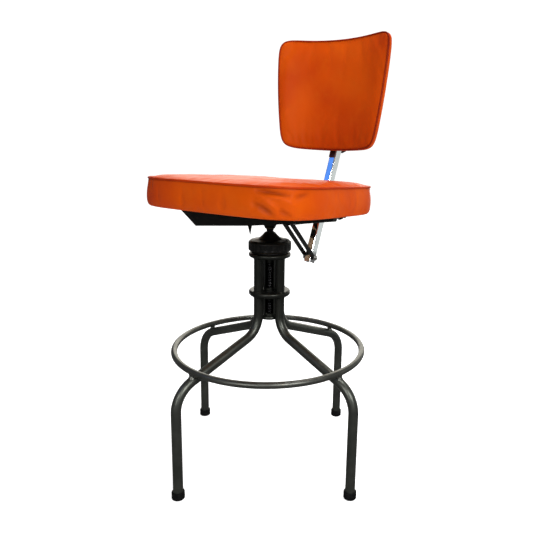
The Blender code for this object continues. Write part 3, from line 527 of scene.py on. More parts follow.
# ---------------------------------------------------------------- base
def leg_path(steps=18):
    slope = math.atan2(KNEE_Z - HIP_Z, FOOT_R - COLUMN_R)
    turn = math.pi / 2 - slope
    knee_start = KNEE_Z + KNEE_BEND_R * math.tan(turn / 2)
    hip_end = HIP_Z - HIP_BEND_R * math.tan(turn / 2)
    out = [(COLUMN_R, 0, LEG_TOP_Z), (COLUMN_R, 0, knee_start + 20)]
    for i in range(steps + 1):
        a = turn * i / steps
        out.append((COLUMN_R + KNEE_BEND_R * (1 - math.cos(a)), 0, knee_start - KNEE_BEND_R * math.sin(a)))
    for i in range(steps, -1, -1):
        a = turn * i / steps
        out.append((FOOT_R - HIP_BEND_R * (1 - math.cos(a)), 0, hip_end + HIP_BEND_R * math.sin(a)))
    out += [(FOOT_R, 0, hip_end - 20), (FOOT_R, 0, LEG_BOTTOM_Z)]
    return out


def leg_height(r):
    """Height of a leg's centre line where it slopes."""
    return KNEE_Z + (HIP_Z - KNEE_Z) * (r - COLUMN_R) / (FOOT_R - COLUMN_R)


def build_legs():
    tube = sweep(leg_path(), TUBE_R, (0, 1, 0), 32)
    z = LEG_BOTTOM_Z
    tip = [(12.8, 17.5), (14.2, 17.0), (14.5, 15.6), (14.1, 13.6), (14.5, 11.8), (14.1, 9.8), (14.5, 8.0),
           (14.5, 2.2), (12.4, 0.0), (5.0, 0.0), (4.2, 0.8), (0.01, 0.8), (0.01, z - 0.3), (11.4, z - 0.3),
           (11.4, 17.5)]
    for i in range(4):
        turn = BASE @ Matrix.Rotation(LEG_ANGLES[i], 4, "Z")
        leg = coat(piece(f"leg_tube_{i + 1}", *tube, "base", turn, 60), PAINT)
        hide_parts(f"leg_{i + 1}")
        at = turn @ Matrix.Translation((FOOT_R * MM, 0, 0))
        spun(f"foot_tip_{i + 1}", tip, "base", RUBBER, at, 56, 0.7, None, (f"rubber_foot_{i + 1}",))


def build_ring():
    section = [(RING_R + RING_ROD_R * math.cos(TAU * k / 28), RING_Z + RING_ROD_R * math.sin(TAU * k / 28))
               for k in range(28)]
    shape = Shape().add(*lathe(section, 240, closed=True))
    saddle = leg_height(RING_R) + TUBE_R
    post = [(0.01, RING_Z), (RING_POST_R + 0.6, RING_Z - 2), (RING_POST_R + 0.3, RING_Z - RING_ROD_R + 0.5),
            (RING_POST_R - 0.5, (RING_Z - RING_ROD_R + saddle) / 2), (RING_POST_R + 1.2, saddle - 0.5),
            (RING_POST_R + 3.0, saddle - 4.0), (RING_POST_R + 2.0, saddle - 9.0), (0.01, saddle - 10.0)]
    for i, a in enumerate(LEG_ANGLES):
        verts, faces = lathe(rounded(post, 2.0, 4), 28)
        at = Matrix.Translation((RING_R * math.cos(a), RING_R * math.sin(a), 0))
        shape.add(lumpy(verts, 0.55, 0.35, i), faces, at)
    ring = coat(piece("foot_ring_bar", shape.verts, shape.faces, "base", BASE, 50), RING_PAINT_LIT)
    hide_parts("foot_ring")


def weld_beads(shape, spots, z, side):
    """Fillet round each leg tube where it meets a collar face at height z."""
    bead = [(TUBE_R - 0.6, z - side), (TUBE_R + 2.4, z - side), (TUBE_R + 1.2, z + side),
            (TUBE_R - 0.6, z + 2.2 * side)]
    for x, y in spots:
        verts, faces = lathe(rounded(bead, 0.8, 3, True), 36, closed=True)
        shape.add(lumpy(verts, 0.35, 0.4, x + z), faces, Matrix.Translation((x, y, 0)))


def build_column():
    """The discs that bundle the legs, the guide tube and the ring under the hand nut."""
    spots = [(COLUMN_R * math.cos(a), COLUMN_R * math.sin(a)) for a in LEG_ANGLES]
    lo, hi = (v.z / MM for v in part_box("lower_collar"))
    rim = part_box("lower_collar")[1].x / MM
    disc = rounded([(GUIDE_TUBE_R, hi), (rim, hi), (rim, lo), (GUIDE_TUBE_R, lo)], 6.0, 6, True)
    shape = Shape().add(*lathe(disc, 96, closed=True))
    weld_beads(shape, spots, hi, 1)
    weld_beads(shape, spots, lo, -1)
    lower = coat(piece("lower_collar_disc", shape.verts, shape.faces, "base", BASE, 50), PAINT)
    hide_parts("lower_collar")

    bottom, hi = (v.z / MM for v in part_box("top_collar"))
    lo = hi - COLLAR_THICK
    body = [(COLUMN_BORE_R, hi), (rim, hi), (rim, lo), (TOP_BOSS_R, lo), (TOP_BOSS_R, bottom),
            (COLUMN_BORE_R, bottom)]
    shape = Shape().add(*lathe(rounded(body, 4.6, 5, True), 96, closed=True))
    weld_beads(shape, spots, lo, -1)
    top = coat(piece("top_collar_disc", shape.verts, shape.faces, "base", BASE, 50), PAINT)
    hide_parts("top_collar")

    lo, hi = (v.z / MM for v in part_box("bottom_plate"))
    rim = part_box("bottom_plate")[1].x / MM
    spun("bottom_disc", [(0.01, hi), (rim, hi), (rim, lo), (0.01, lo)], "base", PAINT, corner=3.0,
         replaces=("bottom_plate",), closed=False)
    keep(PAINT, "guide_tube", edge=0.4)
    lo, hi = (v.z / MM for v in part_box("bearing_cup"))
    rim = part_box("bearing_cup")[1].x / MM
    spun("bearing_ring", [(10.1, hi), (rim, hi), (rim, lo), (10.1, lo)], "base", BLACK,
         corner=1.0, replaces=("bearing_cup",), steps=96)


def build_hand_nut():
    """Bell-shaped hand nut with a scalloped rim."""
    lo, hi = (v.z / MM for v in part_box("hand_nut"))
    rim = HAND_NUT_R
    lip = lo + 21.1
    profile = [(COLUMN_BORE_R, hi), (11.4, hi), (12.6, hi - 0.9), (15.5, hi - 4.5), (19.5, hi - 8.7),
               (24.0, hi - 12.7), (29.0, hi - 15.9), (36.0, hi - 17.5), (42.0, hi - 18.2), (46.0, hi - 18.9),
               (rim - 1.0, lip - 0.2), (rim, lip - 2.2), (rim, lip - 4.0), (rim, lip - 6.0), (rim, lo + 9.0),
               (rim, lo + 6.0), (rim, lo + 4.0), (rim, lo + 2.0), (rim - 1.4, lo), (COLUMN_BORE_R, lo)]

    def scallops(a, r, z):
        along = max(0.0, min(1.0, (z - lo - 3.0) / 3.0, (lip - 3.0 - z) / 3.0))
        groove = (0.5 + 0.5 * math.cos(HAND_NUT_FLUTES * a + math.pi)) ** 3
        return r - 1.3 * along * groove if r > 46.5 else r

    spun("hand_nut_bell", profile, "nut", BLACK, BASE, 240, 1.0, scallops, ("hand_nut",))


def build_screw():
    """Threaded spindle with its keyway and plain spigot, and the small pieces on it."""
    lo, hi = (v.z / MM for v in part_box("spindle_screw"))
    cut = thread(SCREW_R, SCREW_THREAD, SCREW_LEAD, SCREW_STARTS)
    top = SCREW_TOP_Z
    stations = [lo + 2.5 + i for i in range(int(top - lo - 5.5))]

    def warp(a, r, z):
        off = abs((a - math.pi / 2 + math.pi) % TAU - math.pi)
        use = cut(a, r, z) if lo + 2.0 < z < top - 3.0 else r
        key = KEYWAY_DEPTH_AT / math.cos(off) if off < 0.42 and KEYWAY_Z[0] < z < KEYWAY_Z[1] else use
        return min(use, key)

    profile = [(0.01, lo), (7.0, lo)] + [(SCREW_R, z) for z in stations] + [
        (SCREW_R, top), (SPIGOT_R, top), (SPIGOT_R, hi - 1), (SPIGOT_R - 1.0, hi), (0.01, hi)]
    form = lathe(profile, 40, warp)
    screw = coat(piece("spindle_thread", *form, "spindle", BASE, 40), OILED)
    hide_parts("spindle_screw")
    keep(OILED, "stop_pin", "key_screw")
    keep(BRONZE, "swivel_washer", "thrust_washer")
    keep(ZINC, "spigot_keeper", edge=0.3)


# ---------------------------------------------------------------- seat ironwork
def build_hub():
    lo, hi = (v.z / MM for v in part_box("swivel_hub"))
    profile = [(8.25, hi), (15.9, hi), (15.9, lo + 6.6), (12.6, lo + 0.4), (12.2, lo), (8.25, lo)]
    spun("hub_boss", profile, "seat", BLACK, COLUMN, 72, 1.0, None, ("swivel_hub",))


def bolt_shape(length, head, radius, across, threaded):
    """Hex bolt along +Z, its head from 0 to head."""
    shape = Shape().add(*hex_form(across, 0.0, head))
    plain = length - threaded
    shape.add(*lathe([(0.01, head - 0.5), (radius, head - 0.5), (radius, plain), (0.01, plain)], 28))
    turns = [plain + 0.3 * i for i in range(int((threaded - 0.8) / 0.3))]
    profile = [(0.01, plain - 0.2)] + [(radius, z) for z in turns] + [(radius - 0.8, length), (0.01, length)]
    return shape.add(*lathe(profile, 28, thread(radius, 0.55, 1.25, crest=0.2)))


BOLT_R = 3.9
BOLT_HEX = 12.5
BOLT_HEAD = 5.0
BOLT_THREADED = 12.0


def build_bolts():
    for name in ("anchor", "rail", "pivot"):
        lo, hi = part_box(f"{name}_bolt")
        middle = (lo + hi) / 2
        at = axial((lo.x, middle.y, middle.z), (1, 0, 0))
        shape = bolt_shape((hi.x - lo.x) / MM, BOLT_HEAD, BOLT_R, BOLT_HEX, BOLT_THREADED)
        bolt = coat(piece(f"{name}_hex_bolt", shape.verts, shape.faces, "seat", at), ZINC)
        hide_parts(f"{name}_bolt")
        lo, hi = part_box(f"{name}_nut")
        at = axial((lo.x, middle.y, middle.z), (1, 0, 0))
        form = hex_form(BOLT_HEX, 0.0, (hi.x - lo.x) / MM)
        nut = coat(piece(f"{name}_hex_nut", *form, "seat", at), ZINC)
        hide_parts(f"{name}_nut")


def build_ironwork():
    keep(BLACK, "seat_iron", edge=0.8)
    keep(BLACK, "rail_left", "rail_right", "strap_left", "strap_right", "rail_bracket", "rail_end_block",
         edge=0.5)
    keep(OILED, "strap_spacer")
    keep(WOOD, "seat_board", edge=0.6)
    keep(ZINC, "seat_screw_1", "seat_screw_2", "seat_screw_3", "seat_screw_4")
    build_hub()
    build_bolts()


# ---------------------------------------------------------------- backrest support
ROD_R = 3.0
ROD_LENGTH = 134.0
ROD_THREAD_FROM = 92.0
SPRING_R = 6.9
SPRING = (17.3, 51.3)
SLEEVE = (70.7, 106.7)
WING_AT = 107.2
KNOB_LOBES = 6
HALF_WING = [(4.5, 1.5), (9.0, -1.5), (13.0, -9.0), (17.5, -10.5), (19.0, -6.0), (16.0, 3.0), (10.0, 6.5),
             (4.5, 6.0)]


def build_rod():
    """Tension rod with its eye and cross pin, the spring, the sleeve and the wing nut."""
    along = axial(ROD.translation, ROD_AXIS)
    cross = axial(ROD.translation, (1, 0, 0))
    to_cross = along.inverted() @ cross
    cut = thread(ROD_R, 0.45, 1.0, crest=0.2)
    start = ROD_THREAD_FROM
    stations = [start + 0.25 * i for i in range(int((ROD_LENGTH - start - 1.0) / 0.25))]
    profile = [(0.01, 0), (ROD_R, 0.2), (ROD_R, start - 0.5)] + [(ROD_R, z) for z in stations] + [
        (2.3, ROD_LENGTH), (0.01, ROD_LENGTH)]
    shape = Shape().add(*lathe(profile, 24, lambda a, r, z: cut(a, r, z) if z > start else r))
    for radius, half in ((5.3, 5.5), (2.9, 12.0)):
        bar = lathe(rounded([(0.01, -half), (radius, -half), (radius, half), (0.01, half)], 0.6, 3), 32)
        shape.add(*bar, to_cross)
    rod = coat(piece("tension_rod_bar", shape.verts, shape.faces, "rod", along), ZINC)
    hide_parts("tension_rod")
    coil = []
    turns, per_turn = 7, 28
    for i in range(turns * per_turn + 1):
        t = i / (turns * per_turn)
        a = TAU * turns * t
        ease = t - 0.09 * math.sin(TAU * t)
        coil.append((SPRING_R * math.cos(a), SPRING_R * math.sin(a),
                     SPRING[0] + (SPRING[1] - SPRING[0]) * ease))
    wire = sweep(coil, 1.15, (0, 0, 1), 12)
    spring = coat(piece("back_spring", *wire, "rod", along, 60), OILED)
    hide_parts("return_spring")
    tube = [(3.3, SLEEVE[1]), (5.0, SLEEVE[1]), (5.0, SLEEVE[0]), (3.3, SLEEVE[0])]
    spun("spacer_sleeve", tube, "rod", ZINC, along, 40, 0.5, None, ("thrust_sleeve",))
    boss = [(3.3, WING_AT + 15), (6.5, WING_AT + 15), (8.2, WING_AT + 8), (8.8, WING_AT), (3.3, WING_AT)]
    shape = Shape().add(*lathe(rounded(boss, 1.0, 3, True), 40, closed=True))
    upright_plate = Matrix.Translation((0, 0, WING_AT + 9)) @ Matrix.Rotation(math.pi / 2, 4, "X")
    for side in (-1, 1):
        outline = rounded([(side * x, y) for x, y in HALF_WING][::side], 3.0, 4, True)
        shape.add(*plate_form(outline, 4.0, 1.3), upright_plate)
    wing = coat(piece("wing_nut_cast", shape.verts, shape.faces, "wing", along, 50), OILED)
    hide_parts("wing_nut")


def build_upright():
    """Chrome upright, the bracket that slides on it and the lobed knob."""
    keep(CHROME, "upright", edge=0.35)
    keep(MAROON, "back_slider", "hinge_plate", edge=0.4)
    keep(ZINC, "clamp_bolt", "hinge_pin", "plate_screw_1", "plate_screw_2")
    keep(ZINC, "clamp_plate", edge=0.3)
    at = axial(JOINTS["clamp_knob_turn"]["pos_m"], JOINTS["clamp_knob_turn"]["axis"])
    profile = [(0.01, 20.4), (7.5, 20.8), (11.0, 19.6), (12.5, 16.8), (12.5, 8.2), (11.0, 5.0), (7.5, 4.0),
               (6.8, 0.2), (4.2, 0.2), (4.2, 4.0), (0.01, 4.0)]

    def lobes(a, r, z):
        dip = (0.5 + 0.5 * math.cos(KNOB_LOBES * a)) ** 1.6
        return r - 1.5 * dip * max(0.0, min(1.0, (r - 6.5) / 4.5))

    spun("knob_lobed", profile, "knob", PLASTIC, at, 96, 1.4, lobes, ("clamp_knob",), False)


# ---------------------------------------------------------------- upholstery
def rounded_grid(nu, nv, power):
    """Grid of a rounded square: points with |u|^p + |v|^p <= 1, and its boundary in order."""
    pts = []
    for j in range(nv + 1):
        for i in range(nu + 1):
            u, v = 2 * i / nu - 1, 2 * j / nv - 1
            k = max(abs(u), abs(v))
            if k:
                shrink = ((abs(u) / k) ** power + (abs(v) / k) ** power) ** (-1 / power)
                u, v = u * shrink, v * shrink
            pts.append((u, v))
    row = nu + 1
    loop = [i for i in range(nu)] + [j * row + nu for j in range(nv)]
    loop += [nv * row + i for i in range(nu, 0, -1)] + [j * row for j in range(nv, 0, -1)]
    return pts, loop


def grid_faces(nu, nv):
    row = nu + 1
    return [(j * row + i, j * row + i + 1, (j + 1) * row + i + 1, (j + 1) * row + i)
            for j in range(nv) for i in range(nu)]


def seat_point(u, v, inset):
    half = (SEAT_REAR_W * (1 + v) + SEAT_FRONT_W * (1 - v)) / 4 * (1 + 0.011 * (1 - v * v)) - inset
    reach = SEAT_DEPTH / 2 * (1 + 0.029 * (1 - u * u) * (v < 0)) - inset
    return u * half, v * reach + SEAT_CENTRE_Y


def pad_point(u, v, inset):
    half = (PAD_TOP_W * (1 + v) + PAD_BOTTOM_W * (1 - v)) / 4 * (1 + 0.04 * (1 - v * v)) - inset
    reach = PAD_HEIGHT / 2 * (1 + 0.0231 * (1 - u * u) * (v < 0)) - inset
    return u * half, v * reach + PAD_CORNER_LIFT * max(v, 0.0) * u * u + PAD_CENTRE_UP


def pad_surface(x, z, depth):
    """Point of the curved backrest, depth behind its front face."""
    lift = math.sqrt((PAD_RADIUS + depth) ** 2 - x * x)
    return x, lift - PAD_RADIUS - PAD_FRONT, z


def cushion_mesh(nu, nv, power, face, rows, back):
    """Closed cushion: a front grid, rows round its side and a grid behind.

    face(u, v) gives a front point, rows are functions of (u, v) from the front seam to
    the back, and back(u, v) gives a point of the rear grid.
    """
    uv, loop = rounded_grid(nu, nv, power)
    verts = [face(u, v) for u, v in uv]
    faces = grid_faces(nu, nv)
    ring = list(loop)
    for row in rows:
        start = len(verts)
        verts += [row(*uv[i]) for i in loop]
        fresh = list(range(start, len(verts)))
        count = len(loop)
        faces += [(ring[i], fresh[i], fresh[(i + 1) % count], ring[(i + 1) % count]) for i in range(count)]
        ring = fresh
    start = len(verts)
    inner = {i: ring[k] for k, i in enumerate(loop)}
    number = {}
    for i, (u, v) in enumerate(uv):
        if i in inner:
            number[i] = inner[i]
        else:
            number[i] = len(verts)
            verts.append(back(u, v))
    faces += [tuple(number[i] for i in reversed(face)) for face in grid_faces(nu, nv)]
    return verts, faces


def inflate(obj, free, cap, pressure=4.0, slack=0.012):
    """Cloth pressure on the free points, which then move at most cap(i) metres."""
    base = [v.co.copy() for v in obj.data.vertices]
    pins = obj.vertex_groups.new(name="pins")
    for i, weight in enumerate(free):
        pins.add([i], 1.0 - weight, "REPLACE")
    cloth = obj.modifiers.new("cloth", "CLOTH")
    settings = cloth.settings
    settings.quality = 6
    settings.mass = 0.25
    settings.tension_stiffness = 25
    settings.compression_stiffness = 25
    settings.shear_stiffness = 12
    settings.bending_stiffness = 0.8
    settings.use_pressure = True
    settings.uniform_pressure_force = pressure
    settings.shrink_min = -slack
    settings.vertex_group_mass = pins.name
    settings.pin_stiffness = 2.0
    settings.effector_weights.gravity = 0.0
    scene = bpy.context.scene
    for number in range(1, 21):
        scene.frame_set(number)
    evaluated = obj.evaluated_get(bpy.context.evaluated_depsgraph_get())
    moved = [v.co.copy() for v in evaluated.data.vertices]
    obj.modifiers.remove(cloth)
    obj.vertex_groups.clear()
    scene.frame_set(1)
    for i, vert in enumerate(obj.data.vertices):
        step = moved[i] - base[i]
        if step.length > 1e-7:
            vert.co = base[i] + step.normalized() * cap(i) * math.tanh(step.length / cap(i))
    return obj


def relax(obj, rounds, weight):
    """Laplacian smoothing where weight(i) allows it."""
    mesh = obj.data
    near = [[] for _ in mesh.vertices]
    for edge in mesh.edges:
        a, b = edge.vertices
        near[a].append(b)
        near[b].append(a)
    for _ in range(rounds):
        old = [v.co.copy() for v in mesh.vertices]
        for i, vert in enumerate(mesh.vertices):
            w = weight(i)
            if w:
                mean = sum((old[k] for k in near[i]), Vector()) / len(near[i])
                vert.co = old[i].lerp(mean, w)


def subdivided(obj):
    mod = obj.modifiers.new("smooth", "SUBSURF")
    mod.levels = mod.render_levels = 1
    mesh = bpy.data.meshes.new_from_object(obj.evaluated_get(bpy.context.evaluated_depsgraph_get()))
    obj.modifiers.clear()
    obj.data = mesh
    for poly in mesh.polygons:
        poly.use_smooth = True
    return obj


def stroke(p, a, b, width):
    """How strongly a fold from a to b acts at p: 1 on it, fading with distance and at its ends."""
    p, a, b = Vector(p), Vector(a), Vector(b)
    span = b - a
    t = max(0.0, min(1.0, (p - a).dot(span) / span.length_squared))
    taper = math.sin(math.pi * (0.12 + 0.76 * t))
    return math.exp(-((p - a - span * t).length / width) ** 2) * taper


# stores the painted shade values that darken the vinyl in grooves and folds
def paint_crease_shade(obj, values):
    layer = obj.data.attributes.new("crease_shade", "FLOAT", "POINT")
    layer.data.foreach_set("value", values)


# folds at the near front corner: from and to (along the edge from the corner, height), width, depth
CORNER_FOLDS = [((-80, 53), (-2, 46), 5.0, -4.0), ((-50, 44), (4, 37), 6.5, 2.9),
                ((-84, 29), (-40, 10), 6.0, -3.5), ((-66, 38), (-28, 20), 6.0, 2.4),
                ((-30, 22), (10, 8), 6.0, -2.4), ((-14, 32), (22, 26), 8.0, 2.3),
                ((18, 44), (52, 52), 5.0, -2.2)]
LEFT_FOLDS = [((30, 60), (38, 42), 4.0, -2.2), ((50, 58), (56, 40), 4.5, -1.2)]
PLAIN_FOLDS = [((-40, 52), (-6, 44), 5.0, -1.9), ((8, 42), (44, 50), 5.5, -1.7),
               ((-30, 14), (6, 24), 6.0, 1.2)]


def corner_distance(x, y, sx, sy):
    """Distance along the side from the corner (sx, sy): negative on the front or rear face."""
    cx, cy = sx * SEAT_FRONT_W / 2, SEAT_CENTRE_Y + sy * SEAT_DEPTH / 2
    return abs(y - cy) - abs(x - cx)


def seat_folds(x, y, z):
    total = 0.0
    for sx, sy, folds, flip in ((1, -1, CORNER_FOLDS, 1), (-1, -1, LEFT_FOLDS, -1), (1, 1, PLAIN_FOLDS, 1),
                                (-1, 1, PLAIN_FOLDS, 1)):
        if (abs(x - sx * SEAT_FRONT_W / 2) > FOLD_REACH
                or abs(y - SEAT_CENTRE_Y - sy * SEAT_DEPTH / 2) > FOLD_REACH):
            continue
        along = corner_distance(x, y, sx, sy) * flip
        for a, b, width, depth in folds:
            total += depth * stroke((along, z), a, b, width)
    return total


FOLD_REACH = 130.0      # folds act no farther than this from their corner
SEAT_GRID = (88, 72)   # cells of the seat's top
PAD_GRID = (66, 58)     # cells of the back pad's front
STAPLE_INSET = 22.0
STAPLE_HALF = 5.0
STAPLE_DROP = 0.9
SEAT_TOP = SEAT_THICK - 1.0
SEAM_Z = SEAT_THICK - 4.0
# rows round a cushion from the front seam to the back: inset from the outline, height or depth
SEAT_SIDE = [(2.4, SEAM_Z - 0.6), (2.6, SEAM_Z - 2.4), (2.0, SEAM_Z - 4.6), (2.1, SEAM_Z - 8.0), (1.9, 49.0),
             (1.4, 45.0), (0.9, 40.5), (0.5, 36.0), (0.2, 31.5), (0.0, 27.0), (0.0, 22.5), (0.1, 18.0),
             (0.3, 13.5), (0.6, 9.5), (1.2, 6.0), (2.2, 3.2), (3.8, 1.2), (6.0, 0.0), (11.0, -0.3),
             (20.0, -0.3), (29.0, -0.2), (30.0, 1.5), (30.5, 6.0)]
PAD_SIDE = [(2.4, 5.0), (2.2, 6.6), (1.0, 8.6), (0.3, 11.0), (0.2, 13.5), (0.4, 16.0), (1.4, 18.4),
            (3.2, 19.8), (7.0, 20.4), (13.0, 20.4), (15.0, 19.6), (15.6, 16.5)]


def local_points(obj, matrix):
    back = matrix.inverted()
    return [back @ v.co / MM for v in obj.data.vertices]


def move_points(obj, matrix, points):
    for vert, p in zip(obj.data.vertices, points):
        vert.co = matrix @ (p * MM)


def build_seat_cushion():
    """Box cushion: crowned top, a seam round it, vinyl pulled under the board.

    The cover is blown up as cloth with its seam held. Folds and unevenness are then added along the normals,
    and painted shade is stored for the groove under the piping and the fold valleys.
    """
    def top(u, v):
        edge = max(abs(u), abs(v)) ** 14
        return Vector((*seat_point(u, v, 4.4), SEAT_TOP + 1.0 - 3.4 * edge))

    rows = [lambda u, v, d=d, z=z: Vector((*seat_point(u, v, d), z)) for d, z in SEAT_SIDE]

    def under(u, v):
        return Vector((*seat_point(u, v, 30.5), 8.0))

    nu, nv = SEAT_GRID
    verts, faces = cushion_mesh(nu, nv, SEAT_POWER, top, rows, under)
    obj = piece("seat_pad", verts, faces, "seat", SEAT, 180)
    flat = local_points(obj, SEAT)
    free = [1.0 if p.z > SEAM_Z + 0.8 or 6.0 < p.z < SEAM_Z - 6.0 else 0.0 for p in flat]
    inflate(obj, free, lambda i: 0.0055 if flat[i].z > SEAM_Z + 0.8 else 0.0016)
    relax(obj, 2, lambda i: 0.35 * free[i])
    subdivided(obj)
    points = local_points(obj, SEAT)
    normals = [v.normal.copy() for v in obj.data.vertices]
    turn = SEAT.to_3x3().inverted()
    crease_shade = []
    out = []
    for p, n in zip(points, normals):
        n = turn @ n
        side = 4 < p.z < SEAM_Z - 3 and abs(n.z) < 0.7
        fold = seat_folds(p.x, p.y, p.z) if side else 0.0
        wander = noise.noise(p / 55.0) * 0.9 + noise.noise(p / 17.0 + Vector((9, 4, 2))) * 0.25
        if p.z < 4:
            wander = 0.0
        outline_gap = abs(p.z - (SEAM_Z - 1.5))
        seam = math.exp(-(outline_gap / 2.2) ** 2) if side or abs(n.z) < 0.9 else 0.0
        # painted shade: dark along the groove under the piping and in the fold valleys
        crease_shade.append(max(0.0, min(1.0, 0.5 * seam + max(0.0, -fold) * 0.16)))
        out.append(p + n * (fold + wander * 0.8))
    move_points(obj, SEAT, out)
    paint_crease_shade(obj, crease_shade)
    coat(obj, VINYL)
    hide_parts("seat_cushion")


def build_seat_welt():
    """Piping round the top of the seat."""
    uv, loop = rounded_grid(2 * SEAT_GRID[0], 2 * SEAT_GRID[1], SEAT_POWER)
    path = []
    for i in loop:
        x, y = seat_point(*uv[i], BEAD_R + 0.2)
        path.append((x, y, SEAM_Z + 0.25 * noise.noise(Vector((x, y, 0)) / 30.0)))
    bead = sweep(path, BEAD_R, (0, 0, 1), 14, True)
    welt = coat(piece("seat_piping", *bead, "seat", SEAT, 180), SEAT_PIPING_AND_SHADE)
    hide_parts("seat_welt")


def build_staples():
    """Staples that hold the vinyl to the underside of the board."""
    uv, loop = rounded_grid(*SEAT_GRID, SEAT_POWER)
    shape = Shape()
    for k in range(0, len(loop), 6):
        x, y = seat_point(*uv[loop[k]], STAPLE_INSET)
        nx, ny = seat_point(*uv[loop[(k + 1) % len(loop)]], STAPLE_INSET)
        a = math.atan2(ny - y, nx - x) + 0.5 * noise.noise(Vector((k, 3.1, 0.7)))
        half = Vector((math.cos(a), math.sin(a), 0)) * STAPLE_HALF
        rise = Vector((0, 0, STAPLE_DROP))
        centre = Vector((x, y, -STAPLE_DROP))
        bar = [centre - half + rise, centre - half, centre + half, centre + half + rise]
        shape.add(*sweep(bar, 0.45, (half.y, -half.x, 0.01), 6))
    coat(piece("seat_staples", shape.verts, shape.faces, "seat", SEAT, 60), ZINC)


def build_back_cushion():
    """Curved pad: vinyl over foam, seamed round the front, its cover blown up like the seat's."""
    def front(u, v):
        edge = max(abs(u), abs(v)) ** 14
        x, z = pad_point(u, v, 4.2)
        return Vector(pad_surface(x, z, 0.4 + 2.6 * edge))

    rows = [lambda u, v, d=d, t=t: Vector(pad_surface(*pad_point(u, v, d), t)) for d, t in PAD_SIDE]

    def rear(u, v):
        return Vector(pad_surface(*pad_point(u, v, 15.6), 14.5))

    nu, nv = PAD_GRID
    verts, faces = cushion_mesh(nu, nv, PAD_POWER, front, rows, rear)
    obj = piece("back_pad", verts, faces, "pad", PAD, 180)
    count = (nu + 1) * (nv + 1)
    _, loop = rounded_grid(nu, nv, PAD_POWER)
    rim = set(loop)
    free = [1.0 if i < count and i not in rim else 0.0 for i in range(len(obj.data.vertices))]
    inflate(obj, free, lambda i: 0.0035, 3.0, 0.006)
    relax(obj, 3, lambda i: 0.4 * free[i])
    subdivided(obj)
    points = local_points(obj, PAD)
    normals = [v.normal.copy() for v in obj.data.vertices]
    turn = PAD.to_3x3().inverted()
    crease_shade = []
    out = []
    for p, n in zip(points, normals):
        n = turn @ n
        depth = math.hypot(p.x, p.y + PAD_FRONT + PAD_RADIUS) - PAD_RADIUS
        wander = noise.noise(p / 60.0) * 0.8 + noise.noise(p / 15.0 + Vector((3, 8, 1))) * 0.15
        seam = math.exp(-((depth - 5.5) / 2.0) ** 2)
        # painted shade: dark along the seam behind the piping and at the back edge of the side band
        crease_shade.append(max(0.0, min(1.0, 0.55 * seam + 0.3 * math.exp(-((depth - 20.0) / 1.2) ** 2))))
        out.append(p + n * (wander if n.y < -0.3 else 0.3 * wander))
    move_points(obj, PAD, out)
    paint_crease_shade(obj, crease_shade)
    coat(obj, VINYL)
    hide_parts("back_cushion")


def build_back_trim():
    """Piping round the pad and the covered panel behind it."""
    uv, loop = rounded_grid(2 * PAD_GRID[0], 2 * PAD_GRID[1], PAD_POWER)
    path = [pad_surface(*pad_point(*uv[i], BEAD_R + 0.2), 4.0) for i in loop]
    bead = sweep(path, BEAD_R, (0, 1, 0), 14, True)
    welt = coat(piece("back_piping", *bead, "pad", PAD, 180), PIPING_AND_SHADE)
    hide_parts("back_welt")
    rows = [(16.4, 16.0), (16.4, 18.6), (17.2, 19.9), (19.0, 20.3)]
    nu, nv = 44, 38
    steps = [lambda u, v, d=d, t=t: Vector(pad_surface(*pad_point(u, v, d), t)) for d, t in reversed(rows)]

    def outer(u, v):
        return Vector(pad_surface(*pad_point(u, v, 20.0), 20.35))

    def inner(u, v):
        return Vector(pad_surface(*pad_point(u, v, 16.4), 15.0))

    panel = piece("back_shell", *cushion_mesh(nu, nv, PAD_POWER, outer, steps, inner), "pad", PAD, 50)
    coat(panel, VINYL)
    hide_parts("back_panel")


# ---------------------------------------------------------------- stage
FLOOR_R = 150.0
FLOOR_GLOW = 0.7        # keeps the floor as pale as its surroundings, for the camera only
AMBIENT = 0.42
BACKDROP = 1.1
GLOSSY_AMBIENT = 0.15   # what polished metal sees where there is no card


def card(name, size, centre, target, colour, strength):
    """Glowing card that only reflections see."""
    mesh = bpy.data.meshes.new(name)
    half = size / 2
    corners = [(-half, -half, 0), (half, -half, 0), (half, half, 0), (-half, half, 0)]
    mesh.from_pydata(corners, [], [(0, 1, 2, 3)])
    obj = bpy.data.objects.new(name, mesh)
    bpy.context.scene.collection.objects.link(obj)
    material = bpy.data.materials.new(name)
    material.use_nodes = True
    nodes = material.node_tree.nodes
    nodes.clear()
    glow = nodes.new("ShaderNodeEmission")
    glow.inputs["Color"].default_value = (*colour, 1.0)
    glow.inputs["Strength"].default_value = strength
    out = nodes.new("ShaderNodeOutputMaterial")
    material.node_tree.links.new(glow.outputs[0], out.inputs["Surface"])
    mesh.materials.append(material)
    obj.location = centre
    obj.rotation_euler = (Vector(target) - Vector(centre)).to_track_quat("Z", "Y").to_euler()
    obj.visible_camera = False
    obj.visible_diffuse = False
    obj.visible_shadow = False
    obj.visible_transmission = False


def area_light(name, at, target, size, power):
    """White disc lamp aimed at target."""
    data = bpy.data.lights.new(name, "AREA")
    data.shape = "DISK"
    data.size = size
    data.energy = power
    obj = bpy.data.objects.new(name, data)
    bpy.context.scene.collection.objects.link(obj)
    obj.location = at
    obj.rotation_euler = (Vector(target) - Vector(at)).to_track_quat("-Z", "Y").to_euler()


